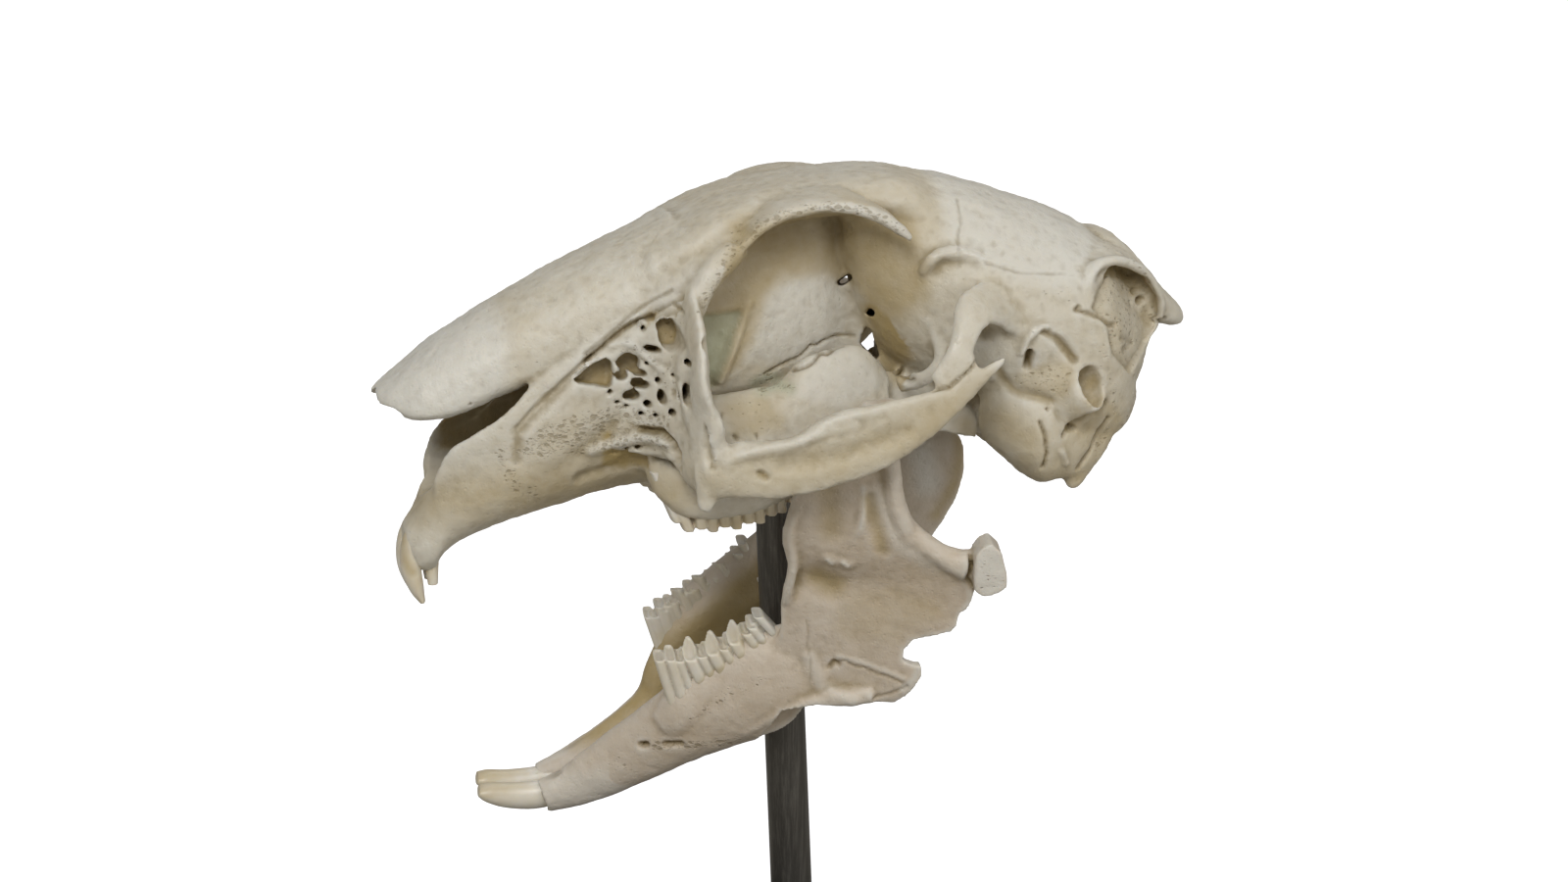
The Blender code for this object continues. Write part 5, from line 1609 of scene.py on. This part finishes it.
    def build(self, finishes: Finishes) -> None:
        """Builds and dresses the teeth of both jaws."""
        for side in BOTH:
            for name, pieces, place in (
                ("upper_teeth_" + side.word, self.upper(side), Matrix.Identity(4)),
                ("lower_teeth_" + side.word, self.lower(side), jaw_pose()),
            ):
                if "lower" in name and side is Side.RIGHT:
                    for piece in pieces:
                        spread_right(piece)
                first, *others = pieces
                first.name = name
                boolean(first, "UNION", others)
                remesh(first, self.voxel, 1)
                carver = Carver(first, (side,))
                carver.apply(UPPER_TOOTH_STROKES if "upper" in name else LOWER_TOOTH_STROKES)
                # painted shade in the grooves between the ribs
                dips = carver.averaged(carver.hollowness(8), 2)
                carver.paints["hollow"] = carver.limited(dips, self.shade)
                thin_out(first, self.most_triangles)
                carver.hand_over(PAINTS)
                shade_round(first, 60)
                hang(first, place)
                dress(first, finishes.tooth, "bone")


def jaw_pose() -> Matrix:
    """The turn from the jaw's own frame to the skull's."""
    lateral = Vector(
        (-math.sin(JAW_YAW), math.cos(JAW_YAW) * math.cos(JAW_ROLL), math.cos(JAW_YAW) * math.sin(JAW_ROLL))
    )
    along = lateral.cross(Vector((0, 0, 1))).normalized()
    return Matrix((along, lateral, along.cross(lateral))).transposed().to_4x4()


def spread_right(piece: Piece) -> None:
    """Bends the upper part of the right half outwards, as it hangs."""
    low, high = SPREAD_LEVELS
    for vertex in piece.data.vertices:
        share = min(max((vertex.co.z / MM - low) / (high - low), 0.0), 1.0)
        vertex.co.y += RIGHT_JAW_SPREAD * MM * share * share * (3 - 2 * share)


# Darkened grooves, holes and pits in these strokes are painted shade
JAW_STROKES = (
    Stroke(((-17.2, -36.3), (-16.6, -36.1)), 0.55, -0.9, "hollow", 0.95, (1, 12)),
    Stroke(((-14.4, -35.6), (-12.6, -35.3)), 0.6, -0.6, "hollow", 0.8, (1, 12)),
    Stroke(((-15.4, -36), (-12.2, -35.5), (-9.2, -35), (-6.2, -34.4)), 1.3, 0, "pitted", 1, (1, 14)),
    Stroke(((-12, -31.6), (-8, -28.4), (-4, -25.6)), 1.6, 0, "pitted", 0.6, (4, 14)),
    Stroke(((-19.6, -38.4), (-20.4, -39.6), (-18.4, -39.8)), 1.2, 0, "pitted", 0.6, (1, 14)),
    Stroke(((-30.1, -42.7), (-29.1, -44.1), (-28, -47.1)), 0.3, -0.3, "hollow", 0.7, (0, 6), -1),
    Stroke(((-29.4, -43.6), (-24.6, -41.5), (-21.5, -39.6)), 0.35, -0.2, "hollow", 0.5, (0, 3), -1),
    Stroke(
        ((-27.6, -47), (-27.6, -43), (-23, -43), (-18, -41), (-23, -46)),
        4, 0, "pale", 0.6, (0, 6), -0.6, True,
    ),
    # the pale paint on the glossy ridge and its end is a painted highlight
    Stroke(((7, 1.8), (7.2, -1.5), (6.9, -3.4), (6.2, -5.9), (5.3, -7.3)), 0.9, 0, "gloss", 1, (11, 20)),
    Stroke(((7, 1.8), (7.2, -1.5), (6.9, -3.4)), 0.6, 0, "pale", 0.8, (11, 20)),
    Stroke(((3.3, -8), (4.4, -8.4), (5.8, -8.7)), 1.2, 0.25, "gloss", 1, (11, 20)),
    Stroke(((3.4, -8.1), (3.9, -8.7)), 0.5, 0.2, "pale", 0.9, (11, 20)),
    Stroke(((5.2, -8.3), (5.7, -8.9)), 0.5, 0.2, "pale", 0.9, (11, 20)),
    # painted shade in the hollow below the ridge
    Stroke(((2.4, -11.2), (4.4, -12.4)), 3, -0.35, "stain_and_shade", 0.75, (10, 20)),
    Stroke(((2.8, -11), (4.4, -11.8)), 1.9, 0, "hollow", 0.4, (10, 20)),
    Stroke(
        ((8.7, 1.2), (10.1, -2.6), (11.5, -5.6), (14.6, -7.8), (18.4, -8.6)),
        2, 0.1, "pale", 0.45, (11, 21),
    ),
    Stroke(((7.6, 0.4), (8.8, -3.4), (9.6, -6.4)), 1.5, -0.3, "stain_and_shade", 0.6, (10, 20)),
    Stroke(((3, 2), (3.6, -4)), 2.6, -0.3, "stain_and_shade", 0.5, (10, 20)),
    Stroke(
        ((19.6, -5.6), (19.7, -7), (19.9, -8.3), (19.5, -9.8), (20.2, -11.1), (21.2, -12.4)),
        0.35, -0.45, "hollow", 0.8, (12, 22),
    ),
    Stroke(
        ((20.6, -6), (21.8, -5), (23.2, -7.4), (23.4, -10.6), (21.4, -11.2), (20.6, -9.4)),
        1, 0, "pale", 1, (12, 22), -1, True,
    ),
    Stroke(
        ((20.6, -6), (21.8, -5), (23.2, -7.4), (23.4, -10.6), (21.4, -11.2), (20.6, -9.4)),
        1, 0, "pitted", 0.4, (12, 22), -1, True,
    ),
    Stroke(((4.4, -23.4), (4.9, -22.6), (5.4, -22.9)), 0.5, -0.5, "hollow", 0.8, (10, 20)),
    Stroke(
        ((5.1, -22.5), (6.2, -22.2), (7.2, -22.9), (8.4, -23), (9.9, -23.7), (11.2, -23.9), (12.9, -24.7)),
        0.24, -0.2, "hollow", 0.5, (10, 20),
    ),
    Stroke(((5.4, -21.8), (7.6, -22.2), (10.2, -23), (12.9, -24)), 0.6, 0.15, "pale", 0.5, (10, 20)),
    Stroke(((9.6, -27), (11.6, -26.2), (13.4, -25)), 0.3, -0.22, "hollow", 0.5, (10, 20)),
    Stroke(
        ((1.5, -17.4), (1.8, -19), (1.7, -20.7), (2.2, -22.6), (2.3, -25.3)),
        0.22, -0.1, "hollow", 0.3, (9, 20),
    ),
    Stroke(((2.1, -22.4), (3.5, -25.9), (7.1, -27.4)), 1.4, 0.25, "pale", 0.4, (8, 20)),
    Stroke(
        ((12, -13), (16, -14.6), (12, -18), (6, -18), (6, -14)),
        2.4, 0, "stain_and_shade", 0.3, (10, 20), 0.1, True,
    ),
    Stroke(
        (
            (20.1, -13.3), (19.3, -14.7), (18.6, -17.1), (16, -18.2), (13.9, -18.9), (12.9, -20.3),
            (12.9, -21.7), (14.5, -22.2), (14.3, -23.8), (12.9, -25.5),
        ),
        0.8, 0, "pale", 0.8, (10, 20), -1, sides=(Side.LEFT,),
    ),
    # the far half's inner face: a painted highlight on its plate, and painted shade over the face below the
    # teeth
    Stroke(
        ((19.4, -9.4), (20.4, -14)),
        3.2, 0, "pale", 1, (10, 26), -0.2, sides=(Side.RIGHT,), inward=True,
    ),
    Stroke(
        ((24.6, -8), (24.5, -12), (23.6, -15.6), (21.8, -18.6)),
        1.8, 0, "stain_and_shade", 0.75, (10, 26), -0.2, sides=(Side.RIGHT,), inward=True,
    ),
    Stroke(
        ((-24, -40), (-14, -31), (0, -20), (4, -18), (4, -30), (-12, -38)),
        3, 0, "stain_and_shade", 0.95, (0, 20), -0.2, True, (Side.RIGHT,), True,
    ),
    Stroke(
        ((-12, -31), (0, -21), (4, -18), (4, -30)),
        3, 0, "hollow", 0.7, (0, 20), -0.2, True, (Side.RIGHT,), True,
    ),
)


@dataclass
class JawHalf:
    """One half of the lower jaw."""

    side: Side
    voxel: float = 0.26
    most_triangles: int = 180_000
    unevenness: tuple[Span, ...] = ((0.3, 0.12), (0.9, 0.05), (2.1, 0.02))
    break_reach: Span = (-26.0, -9.0)
    knob_reach: Span = (-19.6, -16.2)
    body: Rows = (
        (-28.4, -2.1, -45.8, 2.05, 1.7), (-25, -2.6, -44.3, 2.7, 2), (-21, -3.6, -41.5, 3.5, 2.2),
        (-17, -5, -38.1, 4.1, 2.4), (-12.6, -6.6, -34.4, 4.8, 2.8), (-7.6, -8, -30.4, 6.1, 3.2),
        (-2, -9.4, -27, 7.2, 3.1), (3, -11, -24.6, 5.2, 2.2), (7, -12.6, -24.4, 3.9, 1.4),
    )
    far_body: Rows = (
        (-28.4, -2.1, -45.8, 2, 1.7), (-25, -2.6, -44.3, 2.2, 2), (-21, -3.6, -42.2, 2.3, 2.1),
        (-17, -5, -39.9, 2.4, 2.2), (-14, -6.2, -37.6, 2.6, 2.5), (-11.6, -7, -34.4, 4.2, 2.8),
        (-7.6, -8, -30.6, 6.2, 3.1), (-2, -9.4, -27, 6.8, 3), (3, -11, -25.2, 5, 2.2),
        (7, -12.6, -24.8, 3.6, 1.4),
    )
    tooth_bed: Rows = (
        (-14.2, -7.4, -33.6, 2.4, 1.8), (-12.6, -8, -31.8, 3, 2.1), (-10.6, -8.3, -30, 3.4, 2.2),
        (-8.7, -8.5, -28.4, 3.6, 2.2), (-6.4, -8.8, -26.9, 3.6, 2.2), (-3.5, -9.3, -24.7, 3.6, 2.1),
        (-1.2, -9.9, -23.2, 3.4, 1.9), (1, -11, -21.4, 3, 1.5),
    )
    far_tooth_bed: Rows = (
        (-11.9, -8, -31, 3.4, 2.4), (-10.2, -8.2, -29, 4.2, 2.5), (-8.4, -8.4, -27.4, 4.4, 2.5),
        (-6.2, -8.7, -25.8, 4.5, 2.5), (-3.5, -9.2, -23.6, 4.6, 2.4), (-1.2, -9.8, -21.9, 4.6, 2.2),
        (1, -10.8, -20.2, 4.4, 1.8), (3, -11.8, -19, 4.4, 1.4),
    )
    plate: Rows = (
        (-28.6, 0.6, 12, -10.6, -14, 0.9), (-27, -0.6, 15.2, -10.8, -15.4, 0.9),
        (-24.5, -1.6, 19, -11, -16.6, 0.8), (-20.5, -1.6, 22.4, -11.4, -17.4, 0.8),
        (-16, -1.4, 24.6, -11.8, -17.8, 0.8), (-11.6, -0.5, 25.2, -12.2, -18, 0.8),
        (-7.8, -1.7, 23.6, -13.8, -18, 0.8), (-5.4, -2, 15.6, -14.2, -17, 0.9),
        (-2.4, -1.5, 12.4, -14.5, -16.6, 1), (2.4, -0.1, 11.2, -14.9, -16.4, 1.1),
        (7, 2.4, 11, -15.3, -16.2, 1.2), (10.4, 5.4, 10.8, -15.6, -16.2, 1.2),
        (12.2, 6.8, 9.8, -16, -16.2, 1.1),
    )
    broken_edge: Rows = (
        (20.9, -2), (20.7, -11.2), (20.3, -13.2), (19.9, -14.3), (19, -15), (18.9, -16.4), (18.3, -17.4),
        (16, -18.2), (13.9, -18.9), (12.9, -20.3), (12.9, -21.7), (13.8, -22.1), (15, -22.2),
        (15.1, -23.6), (14.3, -25.1), (13.3, -26.5), (12, -27.8), (10.2, -27.7), (8, -27.9), (6, -28.2),
        (3, -28.2), (-1, -29.6), (-6, -40), (34, -40), (34, -2),
    )
    knob: Rows = (
        (20.2, -6.2), (20.9, -5.2), (22, -4.7), (23.3, -6), (23.9, -8.4), (24.1, -10.4), (23, -11.3),
        (21.4, -11.7), (20.3, -10.9), (20.1, -8.6),
    )
    angle_rim: Rows = (
        (12, -15.9, -3.4, 1.2, 1.3), (14.6, -16.6, -5.8, 1.2, 1.3), (17.4, -17.2, -7.6, 1.3, 1.3),
        (19.6, -17.7, -8.2, 2, 1.5),
    )
    condyle_rim: Rows = (
        (13, -16.4, -5.2, 1.1, 1.3), (11.2, -16.6, -1, 1.1, 1.4), (10.2, -16.6, 4, 1.1, 1.5),
        (9.6, -16.4, 9, 1.2, 1.6), (8.8, -16.2, 12.2, 1.9, 1.7),
    )
    front_rim: Rows = (
        (-1, -10.8, -17.2, 0.35, 0.4), (-0.8, -12.7, -13.6, 0.6, 0.8), (-0.5, -14, -9, 0.65, 0.9),
        (-1, -14.5, -4.6, 0.65, 0.9), (0.7, -14.9, 0.6, 0.65, 0.9), (3.4, -15.5, 6.4, 0.7, 0.9),
        (6.4, -16, 10.6, 1, 1.2),
    )
    masseter_ridge: Rows = (
        (7, -16.2, 6, 0.7, 0.5), (7.1, -16.5, 1.8, 0.7, 0.6), (7.3, -16.6, -1.5, 0.7, 0.7),
        (6.6, -16, -4.8, 0.7, 0.7), (5.4, -15.2, -7.4, 0.6, 0.5),
    )
    lower_keel: Rows = (
        (-5, -9.4, -33, 1.5, 2), (0, -11.2, -29.6, 1.4, 1.8), (5, -13.2, -27.6, 1.3, 1.3),
        (9.6, -14.6, -26.6, 1.1, 0.9),
    )

    def build(self, finishes: Finishes) -> Piece:
        """Builds and dresses the half.

        Args:
            finishes: The materials.

        Returns:
            The finished piece.
        """
        side = self.side
        pieces = [
            LOFT.tube("jaw_bone_" + side.word, side, self.body if side is Side.LEFT else self.far_body),
            LOFT.tube("tooth_bed", side, self.tooth_bed if side is Side.LEFT else self.far_tooth_bed),
            LOFT.slices("jaw_plate", side, self.plate),
            LOFT.tube("angle_rim", side, self.angle_rim),
            LOFT.tube("condyle_rim", side, self.condyle_rim, (1, 0, 0)),
            LOFT.tube("front_rim", side, self.front_rim, (1, 0, 0)),
            LOFT.tube("masseter_ridge", side, self.masseter_ridge, (1, 0, 0)),
        ]
        if side is Side.LEFT:
            pieces.append(LOFT.tube("lower_keel", side, self.lower_keel))
        else:
            for piece in pieces:
                spread_right(piece)
        bone, *others = pieces
        boolean(bone, "UNION", others)
        remesh(bone, self.voxel, 5)
        if side is Side.LEFT:
            torn = LOFT.prism("broken_edge", side, self.broken_edge, self.break_reach)
            boolean(bone, "DIFFERENCE", [torn])
            keep_largest(bone)
            boolean(bone, "UNION", [LOFT.prism("knob", side, self.knob, self.knob_reach)])
            remesh(bone, self.voxel, 1)
        carve_bone(Carver(bone, (side,), unevenness=self.unevenness), JAW_STROKES, self.most_triangles)
        hang(bone, jaw_pose())
        dress(bone, finishes.jaw, "bone", "mandible_" + side.word)
        return bone


@dataclass
class Stand:
    """The leaning rod, its crossbar and the base plate."""

    base_radius: float = 37.0
    base_thickness: float = 7.0
    rod_radius: float = 2.5
    rod_foot: Span = (2.8, 7.0)
    rod_top: Point = (-1.1, 2.6, 9.0)
    rod_start: float = 7.3
    rod_edge: float = 0.2
    crossbar_radius: float = 1.25
    crossbar_place: Span = (0.2, -25.5)
    crossbar_reach: float = 6.6

    def rod(self) -> Piece:
        """The rod on its leaning line, cut level at both ends, with the crossbar through it."""
        foot = Vector((*self.rod_foot, self.base_thickness - SKULL_HEIGHT))
        lean = Vector(self.rod_top) - foot
        rings = []
        top, edge = self.rod_top[2], self.rod_edge
        for level, inset in ((self.rod_start - SKULL_HEIGHT, 0.0), (top - edge, 0.0), (top, edge)):
            middle = foot + lean * ((level - foot.z) / lean.z)
            radius = self.rod_radius - inset
            rings.append([middle + Vector((math.cos(a), math.sin(a), 0.0)) * radius for a in ROUND.turns()])
        rod = ROUND.skin("rod_and_crossbar", rings)
        axes = jaw_pose()
        middle = axes @ Vector((self.crossbar_place[0], 0.0, self.crossbar_place[1]))
        reach = axes.to_3x3() @ Vector((0.0, self.crossbar_reach, 0.0))
        size = (self.crossbar_radius, self.crossbar_radius)
        rows = tuple((*(middle + reach * share), *size) for share in (-1.0, 0.0, 1.0))
        boolean(rod, "UNION", [ROUND.tube("crossbar", Side.LEFT, rows)])
        hang(rod)
        shade_round(rod, 30)
        return rod

    def build(self, finishes: Finishes) -> None:
        """Builds and dresses the rod and the base plate with its eased edges."""
        dress(self.rod(), finishes.steel, "dark_steel", "stand_rod")
        deselect()
        bpy.ops.mesh.primitive_cylinder_add(
            vertices=160,
            radius=self.base_radius * MM,
            depth=self.base_thickness * MM,
            location=(0, 0, self.base_thickness * MM / 2),
        )
        base = bpy.context.object
        base.name = "base_plate"
        bpy.ops.object.transform_apply(location=True, rotation=True, scale=True)
        edges = {"limit_method": "ANGLE", "angle_limit": math.radians(60)}
        finish_modifier(base, "BEVEL", width=1.0 * MM, segments=4, **edges)
        shade_round(base, 40)
        dress(base, finishes.lacquer, "base_plate", "stand_base")


@dataclass
class Studio:
    """A pale floor, soft lights and the camera at the photograph's angle."""

    distance: float = 600.0
    elevation: float = 12.0
    azimuth: float = -12.0
    pixels_per_mm: float = 8.6
    image_width: float = 1600.0
    sensor: float = 36.0
    sky: float = 0.29
    lamps: tuple[tuple[str, Point, float, float], ...] = (
        ("key_light", (-0.5, -1.15, 0.95), 0.6, 12.5),
        ("fill_light", (0.9, -1.0, 0.5), 0.8, 5.0),
        ("top_light", (0.3, 0.5, 1.6), 0.8, 3.5),
    )

    def floor(self) -> None:
        """Adds the floor."""
        deselect()
        bpy.ops.mesh.primitive_plane_add(size=30.0)
        floor = bpy.context.object
        floor.name = "studio_floor"
        made, graph, shader = start_material("studio_floor_white")
        shader.inputs["Roughness"].default_value = 0.9
        seen = graph.node("ShaderNodeLightPath").outputs["Is Camera Ray"]
        graph.link(graph.mix(seen, (0.42, 0.40, 0.36), (0.9, 0.9, 0.9)), shader.inputs["Base Color"])
        graph.link(graph.mix(seen, (0.0, 0.0, 0.0), (1.0, 1.0, 1.0)), shader.inputs["Emission Color"])
        shader.inputs["Emission Strength"].default_value = 0.7
        floor.data.materials.append(made)

    def lamp(self, name: str, place: Point, size: float, watts: float) -> None:
        """Adds a soft lamp that faces the skull.

        Args:
            name: The lamp's name.
            place: Where it hangs, in metres.
            size: The side of its square, in metres.
            watts: Its power.
        """
        light = bpy.data.lights.new(name, "AREA")
        light.size = size
        light.energy = watts
        lamp = bpy.data.objects.new(name, light)
        bpy.context.scene.collection.objects.link(lamp)
        lamp.location = place
        aim = Vector((0.0, 0.0, SKULL_HEIGHT * MM)) - Vector(place)
        lamp.rotation_euler = aim.to_track_quat("-Z", "Y").to_euler()

    def camera(self) -> None:
        """Adds the camera."""
        around, above = math.radians(self.azimuth), math.radians(self.elevation)
        level = math.cos(above)
        back = Vector((math.sin(around) * level, -math.cos(around) * level, math.sin(above)))
        data = bpy.data.cameras.new("photo_camera")
        data.sensor_width = self.sensor
        data.lens = self.sensor * self.pixels_per_mm * self.distance / self.image_width
        data.clip_end = 50.0
        camera = bpy.data.objects.new("photo_camera", data)
        bpy.context.scene.collection.objects.link(camera)
        camera.location = Vector((0.0, 0.0, SKULL_HEIGHT * MM)) + back * self.distance * MM
        camera.rotation_euler = back.to_track_quat("Z", "Y").to_euler()
        bpy.context.scene.camera = camera

    def build(self) -> None:
        """Builds the studio round the specimen."""
        self.floor()
        for lamp in self.lamps:
            self.lamp(*lamp)
        world = bpy.data.worlds.new("studio_air")
        world.use_nodes = True
        sky = world.node_tree.nodes["Background"]
        sky.inputs["Color"].default_value = (1.0, 1.0, 1.0, 1.0)
        sky.inputs["Strength"].default_value = self.sky
        bpy.context.scene.world = world
        bpy.context.scene.view_settings.view_transform = "Standard"
        self.camera()


def main() -> None:
    """Builds every piece of the specimen and its studio."""
    logging.basicConfig(level=logging.INFO)
    finishes = Finishes()
    Cranium().build(finishes)
    Teeth().build(finishes)
    for side in BOTH:
        JawHalf(side).build(finishes)
    Stand().build(finishes)
    Studio().build()


if __name__ == "__main__":
    main()
